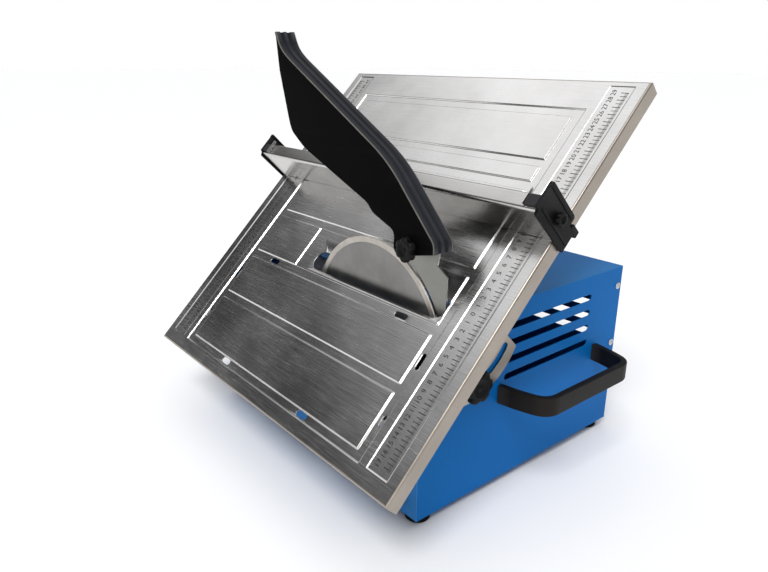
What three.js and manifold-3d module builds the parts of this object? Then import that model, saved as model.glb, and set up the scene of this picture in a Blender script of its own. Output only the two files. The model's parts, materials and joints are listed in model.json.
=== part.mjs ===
// Bench wet saw for stone slabs: a fixed diamond blade in a sheet steel housing, under a steel table
// that tilts about an axis along the cut. Millimetres, +Z up. While it is built, X = 0 and Z are
// taken from the tilt axis and the bench, and Y = 0 is the middle of the table; -Y is the outfeed end.

import * as THREE from 'three';
import { mergeVertices } from 'three/addons/utils/BufferGeometryUtils.js';
import Module from 'manifold-3d';

const wasm = await Module();
wasm.setup();

// ---------------------------------------------------------------- driving dimensions, mm
const CLEARANCE = 0.3;           // between touching pieces
const SEGMENTS = 16;             // sides of a round piece

const TABLE_LENGTH = 505;        // up the slope, across the blade
const TABLE_WIDTH = 500;         // along the cut
const TABLE_FLANGE = 18;         // depth of the turned-down rim
const TABLE_SHEET = 1.5;
const TABLE_TILT = Math.PI / 4;
const AXIS_TO_LOW_EDGE = 189;    // tilt axis to the table's lower edge
const AXIS_TO_SURFACE = 14;      // tilt axis to the table's top surface
const AXIS_HEIGHT = 220;         // tilt axis above the bench

const HOUSING_LEFT = 61;         // tilt axis to the left wall
const HOUSING_WIDTH = 348;
const HOUSING_TOP = 228;         // top deck above the bench
const PANEL_SETBACK = 48;        // table edge to the end panel's outer face
const WALL = 1.5;
const FOOT_HEIGHT = 11;
const FOOT_RADIUS = 14;
const FOOT_INSET = 18;

const BLADE_DIAMETER = 230;
const BLADE_CORE = 1.8;
const BLADE_RIM = 2.4;           // thickness of the segmented rim
const BLADE_RIM_DEPTH = 7;
const BLADE_OFFSET = -3;         // blade plane from the tilt axis
const BLADE_DROP = 53;           // blade axis below the tilt axis
const BLADE_REAR_GAP = 29;       // blade to the outfeed end panel
const SHAFT_RADIUS = 6;
const FLANGE_RADIUS = 28;        // blade clamping flanges

const BULKHEAD_GAP = 15;         // blade plane to the bulkhead
const BULKHEAD_SHEET = 2.5;
const MOTOR_RADIUS = 52;
const MOTOR_LENGTH = 108;        // stator housing
const COVER_THICKNESS = 12;      // motor end covers
const BEARING_RADIUS = 16;

const BASIN_HEIGHT = 70;
const SPOUT_RADIUS = 9;

const BOLT_RADIUS = 4;           // M8
const BRACKET_SHEET = 2;
const BRACKET_RADIUS = 92;       // tilt bracket's curved edge
const SLOT_RADIUS = 73;          // tilt slot about the axis
const STUD_ANGLE = -78 * Math.PI / 180;  // clamp stud as seen from the axis
const KNOB_RADIUS = 19;
const KNOB_LENGTH = 11;

const KNIFE_GAP = 4;             // riving knife to the blade's rim
const GUARD_PIVOT = [-78, 121.3];  // direction of the guard hinge from the blade axis, in Y and Z
const GUARD_PIVOT_GAP = 29.2;    // blade's rim to the hinge
const GUARD_WIDTH = 27;
const GUARD_SHIFT = -2.5;        // guard's middle from the blade plane
const GUARD_WALL = 2.5;
const GUARD_KNOB_RADIUS = 13.5;
const GUARD_KNOB_LENGTH = 9;
const GUARD_KNOB_CAP = 3.5;       // closed end of the knob's bore

const FENCE_FROM_LOW_EDGE = 298; // fence face from the table's lower edge
const FENCE_HEIGHT = 48;
const FENCE_DEPTH = 20;
const FENCE_SHEET = 2;
const CLAMP_THICKNESS = 5;       // outside the table's edge

const HANDLE_LEFT = 60;          // handle arms from the tilt axis
const HANDLE_SPAN = 180;
const HANDLE_REACH = 60;
const HANDLE_STRAP = 8;
const HANDLE_HEIGHT = 22;
const HANDLE_BOTTOM = 112;

// ---------------------------------------------------------------- places worked out from them
const HALF_WIDTH = TABLE_WIDTH / 2;
const PANEL_OUT = HALF_WIDTH - PANEL_SETBACK;
const PANEL_IN = PANEL_OUT - WALL;
const HOUSING_RIGHT = HOUSING_WIDTH - HOUSING_LEFT;
const BLADE_RADIUS = BLADE_DIAMETER / 2;
const BLADE_Y = -PANEL_OUT + BLADE_REAR_GAP + BLADE_RADIUS;
const BLADE_Z = AXIS_HEIGHT - BLADE_DROP;
const BULKHEAD_X = BLADE_OFFSET + BULKHEAD_GAP;
const MOTOR_X = BULKHEAD_X + BULKHEAD_SHEET + CLEARANCE;
const pivotStretch = (BLADE_RADIUS + GUARD_PIVOT_GAP) / Math.hypot(...GUARD_PIVOT);
const PIVOT_Y = BLADE_Y + GUARD_PIVOT[0] * pivotStretch;
const PIVOT_Z = BLADE_Z + GUARD_PIVOT[1] * pivotStretch;
const STUD_X = SLOT_RADIUS * Math.cos(STUD_ANGLE);
const STUD_Z = AXIS_HEIGHT + SLOT_RADIUS * Math.sin(STUD_ANGLE);
const UNDER_TABLE = AXIS_TO_SURFACE - TABLE_SHEET;
const FENCE_X = FENCE_FROM_LOW_EDGE - AXIS_TO_LOW_EDGE;
// the walls under the tilted table stop on a line that stays this far below its sheet
const SLOPE_RISE = (UNDER_TABLE - 4) / Math.cos(TABLE_TILT);

// ---------------------------------------------------------------- materials
function material(name, color, roughness, metalness) {
  return new THREE.MeshStandardMaterial({ name, color, roughness, metalness });
}
const bluePaint = material('blue_paint', 0x186fb8, 0.45, 0.1);
const stainless = material('stainless', 0xc9c8c4, 0.28, 1);
const zincSteel = material('zinc_steel', 0xa9abad, 0.4, 1);
const castAlloy = material('cast_alloy', 0x9a9c9e, 0.5, 0.9);
const bladeSteel = material('blade_steel', 0xa7a7a3, 0.35, 1);
const darkSteel = material('dark_steel', 0x55575a, 0.45, 0.9);
const blackPlastic = material('black_plastic', 0x1b1c1e, 0.55, 0);
const blackRubber = material('black_rubber', 0x131313, 0.9, 0);
const greenPlastic = material('green_plastic', 0x1f8a3c, 0.4, 0);
const redPlastic = material('red_plastic', 0xc0241f, 0.4, 0);
const copper = material('copper', 0xb06a3a, 0.4, 1);

// ---------------------------------------------------------------- solids
function toManifold(geometry) {
  const bare = geometry.clone();
  bare.deleteAttribute('normal');
  bare.deleteAttribute('uv');
  const merged = mergeVertices(bare, 1e-4);
  const vertProperties = new Float32Array(merged.attributes.position.array);
  const triVerts = new Uint32Array(merged.index.array);
  return new wasm.Manifold(new wasm.Mesh({ numProp: 3, vertProperties, triVerts }));
}

function toGeometry(manifold) {
  const mesh = manifold.getMesh();
  const geometry = new THREE.BufferGeometry();
  geometry.setAttribute('position', new THREE.BufferAttribute(new Float32Array(mesh.vertProperties), 3));
  geometry.setIndex(new THREE.BufferAttribute(new Uint32Array(mesh.triVerts), 1));
  geometry.computeVertexNormals();
  return geometry;
}

function join(...geometries) {
  return toGeometry(geometries.map(toManifold).reduce((all, next) => all.add(next)));
}

function cut(geometry, ...cutters) {
  const solid = cutters.map(toManifold).reduce((left, next) => left.subtract(next), toManifold(geometry));
  return toGeometry(solid);
}

function box(x0, x1, y0, y1, z0, z1) {
  const geometry = new THREE.BoxGeometry(x1 - x0, y1 - y0, z1 - z0);
  return geometry.translate((x0 + x1) / 2, (y0 + y1) / 2, (z0 + z1) / 2);
}

function outline(points) {
  return new THREE.Shape(points.map(([a, b]) => new THREE.Vector2(a, b)));
}

// An outline runs anticlockwise and its holes clockwise, whichever way they were drawn.
function turnedTo(points, clockwise) {
  return THREE.ShapeUtils.isClockWise(points) === clockwise ? points : points.reverse();
}

function extrude(shape, thickness) {
  const drawn = shape.extractPoints(SEGMENTS / 4);
  const ordered = new THREE.Shape(turnedTo(drawn.shape, false));
  ordered.holes = drawn.holes.map((hole) => new THREE.Path(turnedTo(hole, true)));
  return new THREE.ExtrudeGeometry(ordered, { depth: thickness, bevelEnabled: false });
}

// A shape drawn in X and Z, y0 to y0 + thickness.
function plateXZ(shape, y0, thickness) {
  return extrude(shape, thickness).rotateX(Math.PI / 2).translate(0, y0 + thickness, 0);
}

// A shape drawn in Y and Z, x0 to x0 + thickness.
function plateYZ(shape, x0, thickness) {
  const turn = new THREE.Matrix4().set(0, 0, 1, 0, 1, 0, 0, 0, 0, 1, 0, 0, 0, 0, 0, 1);
  return extrude(shape, thickness).applyMatrix4(turn).translate(x0, 0, 0);
}

function roundHole(shape, a, b, radius) {
  const count = radius < 3 ? 8 : 16;
  const points = [];
  for (let i = 0; i < count; i += 1) {
    const angle = -2 * Math.PI * i / count;
    points.push(new THREE.Vector2(a + radius * Math.cos(angle), b + radius * Math.sin(angle)));
  }
  shape.holes.push(new THREE.Path(points));
}

// A straight slot with round ends, its length along the first axis unless upright.
function slotHole(shape, a, b, length, width, upright = false) {
  const reach = (length - width) / 2;
  const hole = new THREE.Path();
  if (upright) {
    hole.absarc(a, b + reach, width / 2, 0, Math.PI, false);
    hole.absarc(a, b - reach, width / 2, Math.PI, 2 * Math.PI, false);
  } else {
    hole.absarc(a + reach, b, width / 2, -Math.PI / 2, Math.PI / 2, false);
    hole.absarc(a - reach, b, width / 2, Math.PI / 2, 1.5 * Math.PI, false);
  }
  shape.holes.push(hole);
}

// Turns a profile of [radius, distance] points about an axis along X, Y or Z.
function turned(profile, direction, sides = SEGMENTS) {
  const points = profile.map(([radius, along]) => new THREE.Vector2(radius, along));
  const geometry = new THREE.LatheGeometry(points, sides);
  if (direction === 'x') geometry.rotateZ(-Math.PI / 2);
  if (direction === 'z') geometry.rotateX(Math.PI / 2);
  return geometry;
}

function ring(inner, outer, from, to, direction, sides = SEGMENTS) {
  return turned([[inner, from], [outer, from], [outer, to], [inner, to], [inner, from]], direction, sides);
}

function disc(radius, from, to, direction, sides = SEGMENTS) {
  return turned([[0, from], [radius, from], [radius, to], [0, to]], direction, sides);
}

// A stepped pin: [radius, length] steps laid end to end from `from`.
function steppedPin(steps, from, direction, sides = SEGMENTS) {
  const profile = [[0, from]];
  let along = from;
  for (const [radius, length] of steps) {
    profile.push([radius, along]);
    along += length;
    profile.push([radius, along]);
  }
  profile.push([0, along]);
  return turned(profile, direction, sides);
}

// A round outline with shallow lobes, or a regular polygon where they have no depth.
function lobedShape(radius, lobes, depth) {
  const points = [];
  const count = depth > 0 ? lobes * 5 : lobes;
  for (let i = 0; i < count; i += 1) {
    const angle = 2 * Math.PI * i / count;
    const r = radius - depth * (1 - Math.cos(lobes * angle)) / 2;
    points.push([r * Math.cos(angle), r * Math.sin(angle)]);
  }
  return outline(points);
}

// ---------------------------------------------------------------- scene graph
const group = new THREE.Group();
const tableGroup = new THREE.Group();
tableGroup.position.set(0, 0, AXIS_HEIGHT);
tableGroup.rotation.y = -TABLE_TILT;
group.add(tableGroup);

function add(name, geometry, look, parent = group) {
  const mesh = new THREE.Mesh(geometry, look);
  mesh.name = name;
  parent.add(mesh);
}

const ENDS = [['outfeed', -1], ['infeed', 1]];

// A piece made for the outfeed end, or its mirror image for the infeed end.
function atEnd(geometry, side) {
  if (side < 0) return geometry;
  const mirrored = geometry.clone().scale(1, -1, 1);
  const index = mirrored.index ? mirrored.index.array : null;
  if (index) {
    for (let i = 0; i < index.length; i += 3) [index[i], index[i + 1]] = [index[i + 1], index[i]];
    return mirrored;
  }
  const places = mirrored.attributes.position.array;
  for (let i = 0; i < places.length; i += 9) {
    for (let k = 0; k < 3; k += 1) [places[i + k], places[i + 3 + k]] = [places[i + 3 + k], places[i + k]];
  }
  mirrored.computeVertexNormals();
  return mirrored;
}

// ---------------------------------------------------------------- housing
const VENT_LENGTH = 156;
const VENT_HEIGHT = 8;
const VENT_PITCH = 20;
const VENT_COUNT = 4;
const VENT_TOP = 28;             // deck to the highest vent's middle
const VENT_RIGHT_MARGIN = 64;    // right wall to the vents
const SIDE_VENT_COUNT = 4;
const SIDE_VENT_TOP = 42;
const SIDE_VENT_HEIGHT = 10;
const SIDE_VENT_LENGTH = 324;
const SCREW_DROPS = [103, 25];   // deck to the lower and the upper panel screw
const SCREW_INSET = 8;
const SCREW_HOLE = 2.1;
const SCREW_HEAD = [4.5, 1.6];   // radius and height
const SCREW_SHANK = [1.8, 7];    // radius and length
const CORNER_FLANGE = 15;

const screwPlaces = SCREW_DROPS.map((drop) => HOUSING_TOP - drop);
const shellHalf = PANEL_IN - CLEARANCE;
const leftWallTop = AXIS_HEIGHT - HOUSING_LEFT + SLOPE_RISE - 2;
const spoutY = -PANEL_IN + 26;
const spoutZ = FOOT_HEIGHT + WALL + CLEARANCE + 16;

function housingShell() {
  const left = -HOUSING_LEFT;
  const right = HOUSING_RIGHT;
  const profile = outline([
    [left, FOOT_HEIGHT], [right, FOOT_HEIGHT], [right, HOUSING_TOP], [BULKHEAD_X, HOUSING_TOP],
    [BULKHEAD_X, HOUSING_TOP - WALL], [right - WALL, HOUSING_TOP - WALL], [right - WALL, FOOT_HEIGHT + WALL],
    [left + WALL, FOOT_HEIGHT + WALL], [left + WALL, leftWallTop], [left, leftWallTop],
  ]);
  const sheet = plateXZ(profile, -shellHalf, 2 * shellHalf);
  const flanges = ENDS.map(([, side]) => {
    const flange = outline([
      [right - CORNER_FLANGE, FOOT_HEIGHT], [right, FOOT_HEIGHT],
      [right, HOUSING_TOP], [right - CORNER_FLANGE, HOUSING_TOP],
    ]);
    screwPlaces.forEach((z) => roundHole(flange, right - SCREW_INSET, z, SCREW_HOLE));
    return atEnd(plateXZ(flange, -shellHalf, WALL), side);
  });
  const vents = [];
  for (let i = 0; i < SIDE_VENT_COUNT; i += 1) {
    const top = HOUSING_TOP - SIDE_VENT_TOP + SIDE_VENT_HEIGHT / 2 - i * VENT_PITCH;
    vents.push(box(right - 2 * WALL, right + WALL, -SIDE_VENT_LENGTH / 2, SIDE_VENT_LENGTH / 2,
      top - SIDE_VENT_HEIGHT, top));
  }
  const spoutHole = disc(SPOUT_RADIUS + 0.6, left - WALL, left + 2 * WALL, 'x').translate(0, spoutY, spoutZ);
  return cut(join(sheet, ...flanges), ...vents, spoutHole);
}

function endPanel(isOutfeed) {
  const shape = outline([
    [-HOUSING_LEFT, FOOT_HEIGHT], [HOUSING_RIGHT, FOOT_HEIGHT], [HOUSING_RIGHT, HOUSING_TOP],
    [HOUSING_TOP - AXIS_HEIGHT - SLOPE_RISE, HOUSING_TOP],
    [-HOUSING_LEFT, AXIS_HEIGHT - HOUSING_LEFT + SLOPE_RISE],
  ]);
  roundHole(shape, 0, AXIS_HEIGHT, BOLT_RADIUS + CLEARANCE);
  roundHole(shape, STUD_X, STUD_Z, BOLT_RADIUS + CLEARANCE);
  screwPlaces.forEach((z) => roundHole(shape, HOUSING_RIGHT - SCREW_INSET, z, SCREW_HOLE));
  const ventX = HOUSING_RIGHT - VENT_RIGHT_MARGIN - VENT_LENGTH / 2;
  for (let i = 0; i < VENT_COUNT; i += 1) {
    slotHole(shape, ventX, HOUSING_TOP - VENT_TOP - i * VENT_PITCH, VENT_LENGTH, VENT_HEIGHT);
  }
  if (isOutfeed) {
    const boltZ = HANDLE_BOTTOM + HANDLE_HEIGHT / 2;
    handleBoltPlaces().forEach((x) => roundHole(shape, x, boltZ, HANDLE_BOLT + CLEARANCE));
  } else {
    roundHole(shape, GLAND_X, GLAND_Z, GLAND_RADIUS + CLEARANCE);
  }
  return plateXZ(shape, -PANEL_OUT, WALL);
}

function housingScrew(x, z) {
  const start = -PANEL_OUT - CLEARANCE - SCREW_HEAD[1];
  return steppedPin([SCREW_HEAD, SCREW_SHANK], start, 'y', 16).translate(x, 0, z);
}

function foot() {
  const profile = [[0, 0], [FOOT_RADIUS - 1.5, 0], [FOOT_RADIUS, 2],
    [FOOT_RADIUS - 2, FOOT_HEIGHT - CLEARANCE],
    [0, FOOT_HEIGHT - CLEARANCE]];
  return turned(profile, 'z', 20);
}

// ---------------------------------------------------------------- handle
const HANDLE_CORNER = 14;
const HANDLE_LEAN = 14;          // how far each arm leans in over its reach
const HANDLE_BOLT = 2.5;
const HANDLE_BOLT_HEAD = [5.5, 3.5];  // radius and height
const HANDLE_ROOT = 7;           // half the length of each foot on the panel

function handleBoltPlaces() {
  return [HANDLE_LEFT, HANDLE_LEFT + HANDLE_SPAN];
}

function carryHandle() {
  const y0 = -PANEL_OUT - CLEARANCE;
  const y1 = -PANEL_OUT - HANDLE_REACH;
  const half = HANDLE_STRAP / 2;
  const shape = new THREE.Shape();
  const left = HANDLE_LEFT;
  const right = HANDLE_LEFT + HANDLE_SPAN;
  shape.moveTo(left - HANDLE_ROOT, y0);
  shape.lineTo(left - half + HANDLE_LEAN * 0.8, y1 + HANDLE_CORNER);
  shape.quadraticCurveTo(left - half + HANDLE_LEAN, y1, left + HANDLE_LEAN + HANDLE_CORNER, y1);
  shape.lineTo(right - HANDLE_LEAN - HANDLE_CORNER, y1);
  const outer = right + half;
  shape.quadraticCurveTo(outer - HANDLE_LEAN, y1, outer - HANDLE_LEAN * 0.8, y1 + HANDLE_CORNER);
  shape.lineTo(right + HANDLE_ROOT, y0);
  shape.lineTo(right - HANDLE_ROOT, y0);
  shape.lineTo(right - half - HANDLE_LEAN * 0.8, y1 + HANDLE_CORNER + 3);
  shape.quadraticCurveTo(right - half - HANDLE_LEAN, y1 + HANDLE_STRAP,
    right - HANDLE_LEAN - HANDLE_CORNER - 2, y1 + HANDLE_STRAP);
  shape.lineTo(left + HANDLE_LEAN + HANDLE_CORNER + 2, y1 + HANDLE_STRAP);
  shape.quadraticCurveTo(left + half + HANDLE_LEAN, y1 + HANDLE_STRAP,
    left + half + HANDLE_LEAN * 0.8, y1 + HANDLE_CORNER + 3);
  shape.lineTo(left + HANDLE_ROOT, y0);
  const strap = extrude(shape, HANDLE_HEIGHT).translate(0, 0, HANDLE_BOTTOM);
  const bores = handleBoltPlaces().map((x) => (
    disc(HANDLE_BOLT + CLEARANCE, y0 - 10, y0 + 1, 'y', 16)
      .translate(x, 0, HANDLE_BOTTOM + HANDLE_HEIGHT / 2)));
  return cut(strap, ...bores);
}

function handleBolt(x) {
  const tip = -PANEL_OUT - HANDLE_STRAP;
  const pin = steppedPin([[HANDLE_BOLT, HANDLE_STRAP + WALL + CLEARANCE], HANDLE_BOLT_HEAD], tip, 'y', 12);
  return pin.translate(x, 0, HANDLE_BOTTOM + HANDLE_HEIGHT / 2);
}

// ---------------------------------------------------------------- water basin and bulkhead
const SPOUT_REACH = 10;          // outside the left wall
const SPOUT_WALL = 2.5;
function waterBasin() {
  const x0 = -HOUSING_LEFT + WALL + 2;
  const x1 = BULKHEAD_X - 2;
  const y = PANEL_IN - 8;
  const z0 = FOOT_HEIGHT + WALL + CLEARANCE;
  const outside = box(x0, x1, -y, y, z0, z0 + BASIN_HEIGHT);
  const inside = box(x0 + WALL, x1 - WALL, -y + WALL, y - WALL, z0 + WALL, z0 + BASIN_HEIGHT + 5);
  const spout = disc(SPOUT_RADIUS, -HOUSING_LEFT - SPOUT_REACH, x0 + WALL, 'x', 20)
    .translate(0, spoutY, spoutZ);
  const bore = disc(SPOUT_RADIUS - SPOUT_WALL, -HOUSING_LEFT - SPOUT_REACH - 1, x0 + 2 * WALL, 'x', 20)
    .translate(0, spoutY, spoutZ);
  return cut(join(cut(outside, inside), spout), bore);
}

function drainPlug() {
  const end = -HOUSING_LEFT - SPOUT_REACH - CLEARANCE;
  return steppedPin([[SPOUT_RADIUS + 1.5, 4], [SPOUT_RADIUS - 2.9, 10]], end - 4, 'x', 20)
    .translate(0, spoutY, spoutZ);
}

function bulkhead() {
  const y = PANEL_IN - 16;
  const shape = outline([
    [-y, FOOT_HEIGHT + WALL + CLEARANCE], [y, FOOT_HEIGHT + WALL + CLEARANCE],
    [y, HOUSING_TOP - WALL - CLEARANCE], [-y, HOUSING_TOP - WALL - CLEARANCE],
  ]);
  roundHole(shape, BLADE_Y, BLADE_Z, SHAFT_RADIUS + 6);
  return plateYZ(shape, BULKHEAD_X, BULKHEAD_SHEET);
}

// ---------------------------------------------------------------- motor
const COVER_END = MOTOR_X + COVER_THICKNESS;
const STATOR_START = COVER_END + CLEARANCE;
const STATOR_END = STATOR_START + MOTOR_LENGTH;
const REAR_END = STATOR_END + CLEARANCE + COVER_THICKNESS;
const FAN_COVER_LENGTH = 22;
const CORE_RADIUS = 27;
const BARREL_WALL = 3;
const CAPACITOR_RADIUS = 17;
const CAPACITOR_LENGTH = 62;
const CAPACITOR_GAP = 34;        // motor's barrel to the capacitor's axis

function onBladeAxis(geometry) {
  return geometry.translate(0, BLADE_Y, BLADE_Z);
}

function motorHousing() {
  const barrel = ring(MOTOR_RADIUS - BARREL_WALL, MOTOR_RADIUS, STATOR_START, STATOR_END, 'x');
  const footTop = -Math.sqrt((MOTOR_RADIUS - 1) ** 2 - 21 ** 2);
  const feet = [-1, 1].map((side) => box(STATOR_START + 8, STATOR_END - 8, side * 26 - 5, side * 26 + 5,
    -(BLADE_Z - FOOT_HEIGHT - WALL - CLEARANCE), footTop));
  return onBladeAxis(join(barrel, ...feet));
}

function endCover(from) {
  return onBladeAxis(ring(BEARING_RADIUS + CLEARANCE, MOTOR_RADIUS, from, from + COVER_THICKNESS, 'x'));
}

function bearing(from) {
  const bore = SHAFT_RADIUS + CLEARANCE;
  return onBladeAxis(ring(bore, BEARING_RADIUS, from + 1, from + COVER_THICKNESS - 1, 'x'));
}

function stator() {
  const outer = MOTOR_RADIUS - BARREL_WALL - CLEARANCE;
  return onBladeAxis(ring(CORE_RADIUS + 1, outer, STATOR_START + 20, STATOR_END - 20, 'x'));
}

function rotor() {
  return onBladeAxis(ring(SHAFT_RADIUS + CLEARANCE, CORE_RADIUS, STATOR_START + 16, STATOR_END - 16, 'x'));
}

function fanCover() {
  const r = MOTOR_RADIUS;
  const start = REAR_END + CLEARANCE;
  const end = start + FAN_COVER_LENGTH;
  const cup = turned([[r - 2, start], [r, start], [r, end - 4], [r - 4, end], [12, end], [12, end - 2],
    [r - 5, end - 2], [r - 2, end - 5], [r - 2, start]], 'x');
  const grille = [];
  for (let i = 0; i < 8; i += 1) {
    const opening = box(end - 3, end + 1, 18, r - 10, -4, 4);
    grille.push(opening.rotateX(2 * Math.PI * (i + 0.5) / 8));
  }
  return onBladeAxis(cut(cup, ...grille));
}

function coolingFan() {
  const start = REAR_END + CLEARANCE + 3;
  const hub = ring(SHAFT_RADIUS + CLEARANCE, 14, start, start + 12, 'x');
  const blades = [];
  for (let i = 0; i < 6; i += 1) {
    const vane = box(start + 1, start + 11, 12, MOTOR_RADIUS - 12, -1.5, 1.5);
    blades.push(vane.rotateX(2 * Math.PI * i / 6));
  }
  return onBladeAxis(join(hub, ...blades));
}

function capacitor() {
  const y = BLADE_Y + MOTOR_RADIUS + CAPACITOR_GAP;
  const z = FOOT_HEIGHT + WALL + CLEARANCE + CAPACITOR_RADIUS;
  return disc(CAPACITOR_RADIUS, STATOR_START, STATOR_START + CAPACITOR_LENGTH, 'x', 20).translate(0, y, z);
}

// ---------------------------------------------------------------- blade
const RIM_LEFT = BLADE_OFFSET - BLADE_RIM / 2;
const RIM_RIGHT = BLADE_OFFSET + BLADE_RIM / 2;
const CORE_LEFT = BLADE_OFFSET - BLADE_CORE / 2;
const CORE_RIGHT = BLADE_OFFSET + BLADE_CORE / 2;
const BORE_RADIUS = 12.7;
const FLANGE_THICKNESS = 5;
const NUT_RADIUS = 11;           // to its corners
const NUT_THICKNESS = 9;
const SHAFT_BEYOND_NUT = 4;

function bladeDisc() {
  const rimStart = BLADE_RADIUS - BLADE_RIM_DEPTH;
  return onBladeAxis(turned([
    [BORE_RADIUS, CORE_LEFT], [rimStart, CORE_LEFT], [rimStart, RIM_LEFT], [BLADE_RADIUS, RIM_LEFT],
    [BLADE_RADIUS, RIM_RIGHT], [rimStart, RIM_RIGHT], [rimStart, CORE_RIGHT], [BORE_RADIUS, CORE_RIGHT],
    [BORE_RADIUS, CORE_LEFT],
  ], 'x', 44));
}

function innerFlange() {
  const bore = SHAFT_RADIUS + CLEARANCE;
  const face = CORE_RIGHT + CLEARANCE;
  const pilot = BORE_RADIUS - CLEARANCE;
  return onBladeAxis(turned([
    [bore, CORE_LEFT + CLEARANCE], [pilot, CORE_LEFT + CLEARANCE], [pilot, face], [FLANGE_RADIUS, face],
    [FLANGE_RADIUS, face + 3], [14, face + FLANGE_THICKNESS], [14, BULKHEAD_X - 2], [bore, BULKHEAD_X - 2],
    [bore, CORE_LEFT + CLEARANCE],
  ], 'x'));
}

function outerFlange() {
  const bore = SHAFT_RADIUS + CLEARANCE;
  const face = CORE_LEFT - CLEARANCE;
  return onBladeAxis(turned([
    [bore, face], [bore, face - FLANGE_THICKNESS], [14, face - FLANGE_THICKNESS], [FLANGE_RADIUS, face - 2.5],
    [FLANGE_RADIUS, face], [bore, face],
  ], 'x'));
}

const NUT_START = CORE_LEFT - 2 * CLEARANCE - FLANGE_THICKNESS;

function bladeNut() {
  const shape = lobedShape(NUT_RADIUS, 6, 0);
  roundHole(shape, 0, 0, SHAFT_RADIUS + CLEARANCE);
  return onBladeAxis(plateYZ(shape, NUT_START - NUT_THICKNESS, NUT_THICKNESS));
}

function shaft() {
  const start = NUT_START - NUT_THICKNESS - SHAFT_BEYOND_NUT;
  return onBladeAxis(disc(SHAFT_RADIUS, start, REAR_END + CLEARANCE + 16, 'x', 20));
}

// ---------------------------------------------------------------- riving knife and guard
const KNIFE_REAR = BLADE_Y - BLADE_RADIUS - KNIFE_GAP;
const KNIFE_TAB_REAR = -PANEL_IN + 7;
const KNIFE_TAB_LOW = BLADE_Z - 4;
const KNIFE_STEP = AXIS_HEIGHT - 9;  // the tab's top, below the nut on the tilt axis
const HUB_RADIUS = 30;           // knife's round head about the guard pivot
const KNIFE_SHOULDER = 24;       // guard pivot to the knife's rear shoulder
const KNIFE_BOLT = 2.5;
const KNIFE_BOLT_HEAD = [5, 4];  // radius and height
const KNIFE_BOLT_HEIGHTS = [12, 38];  // above the tab's lower edge
const KNIFE_BOLT_LENGTH = 10;
const KNIFE_BLOCK = 52;          // height of the block behind the knife's tab

function rivingKnife() {
  const reach = BLADE_RADIUS + KNIFE_GAP;
  const shape = new THREE.Shape();
  shape.moveTo(KNIFE_TAB_REAR, KNIFE_TAB_LOW);
  shape.lineTo(KNIFE_REAR, KNIFE_TAB_LOW);
  const steps = 14;
  const startAngle = Math.PI - 0.09;
  const endAngle = Math.atan2(PIVOT_Z + 2 - BLADE_Z, PIVOT_Y + HUB_RADIUS - BLADE_Y);
  for (let i = 0; i <= steps; i += 1) {
    const angle = startAngle + (endAngle - startAngle) * i / steps;
    shape.lineTo(BLADE_Y + reach * Math.cos(angle), BLADE_Z + reach * Math.sin(angle));
  }
  shape.absarc(PIVOT_Y, PIVOT_Z, HUB_RADIUS, -0.25, Math.PI + 0.5, false);
  shape.lineTo(KNIFE_REAR, PIVOT_Z - KNIFE_SHOULDER);
  shape.lineTo(KNIFE_REAR, KNIFE_STEP);
  shape.lineTo(KNIFE_TAB_REAR, KNIFE_STEP - 6);
  roundHole(shape, PIVOT_Y, PIVOT_Z, BOLT_RADIUS + CLEARANCE);
  knifeBoltPlaces().forEach((z) => roundHole(shape, KNIFE_BOLT_Y, z, KNIFE_BOLT + CLEARANCE));
  return plateYZ(shape, CORE_LEFT, BLADE_CORE);
}

const KNIFE_BOLT_Y = (KNIFE_TAB_REAR + KNIFE_REAR) / 2;

function knifeBoltPlaces() {
  return KNIFE_BOLT_HEIGHTS.map((height) => KNIFE_TAB_LOW + height);
}

function knifeMount() {
  const shape = outline([
    [CORE_RIGHT + CLEARANCE, KNIFE_TAB_REAR], [BULKHEAD_X - CLEARANCE, KNIFE_TAB_REAR],
    [BULKHEAD_X - CLEARANCE, KNIFE_REAR + 24], [RIM_RIGHT + 3, KNIFE_REAR + 24], [RIM_RIGHT + 3, KNIFE_REAR],
    [CORE_RIGHT + CLEARANCE, KNIFE_REAR],
  ]);
  const block = extrude(shape, KNIFE_BLOCK).translate(0, 0, KNIFE_TAB_LOW);
  const bore = KNIFE_BOLT + CLEARANCE;
  const bores = knifeBoltPlaces().map((z) => disc(bore, CORE_LEFT - 1, CORE_RIGHT + 11, 'x', 16)
    .translate(0, KNIFE_BOLT_Y, z));
  return cut(block, ...bores);
}

function knifeBolt(z) {
  const start = CORE_LEFT - CLEARANCE - KNIFE_BOLT_HEAD[1];
  const pin = steppedPin([KNIFE_BOLT_HEAD, [KNIFE_BOLT, KNIFE_BOLT_LENGTH]], start, 'x', 12);
  return pin.translate(0, KNIFE_BOLT_Y, z);
}

// The guard's side view about its pivot: back edge from the rear to the tip, then the open edge.
const GUARD_BACK = [[-36, 1], [-36, 12], [26, 76], [50, 94], [223, 187], [238, 198], [247, 216]];
const GUARD_OPEN = [[242, 173], [224, 114], [219, 102], [192, 84], [70, 37], [62, 28], [24, 14],
  [26, -4], [20, -12]];
const SPACER_RADIUS = 8;
const GUARD_BOLT_HEAD = [7, 5];  // radius and height
const GUARD_LEFT = BLADE_OFFSET + GUARD_SHIFT - GUARD_WIDTH / 2;
const GUARD_RIGHT = BLADE_OFFSET + GUARD_SHIFT + GUARD_WIDTH / 2;

function inward(points, distance) {
  return points.map(([a, b], i) => {
    const [p, q] = [points[Math.max(i - 1, 0)], points[Math.min(i + 1, points.length - 1)]];
    const length = Math.hypot(q[0] - p[0], q[1] - p[1]);
    return [a + distance * (q[1] - p[1]) / length, b - distance * (q[0] - p[0]) / length];
  });
}

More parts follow.
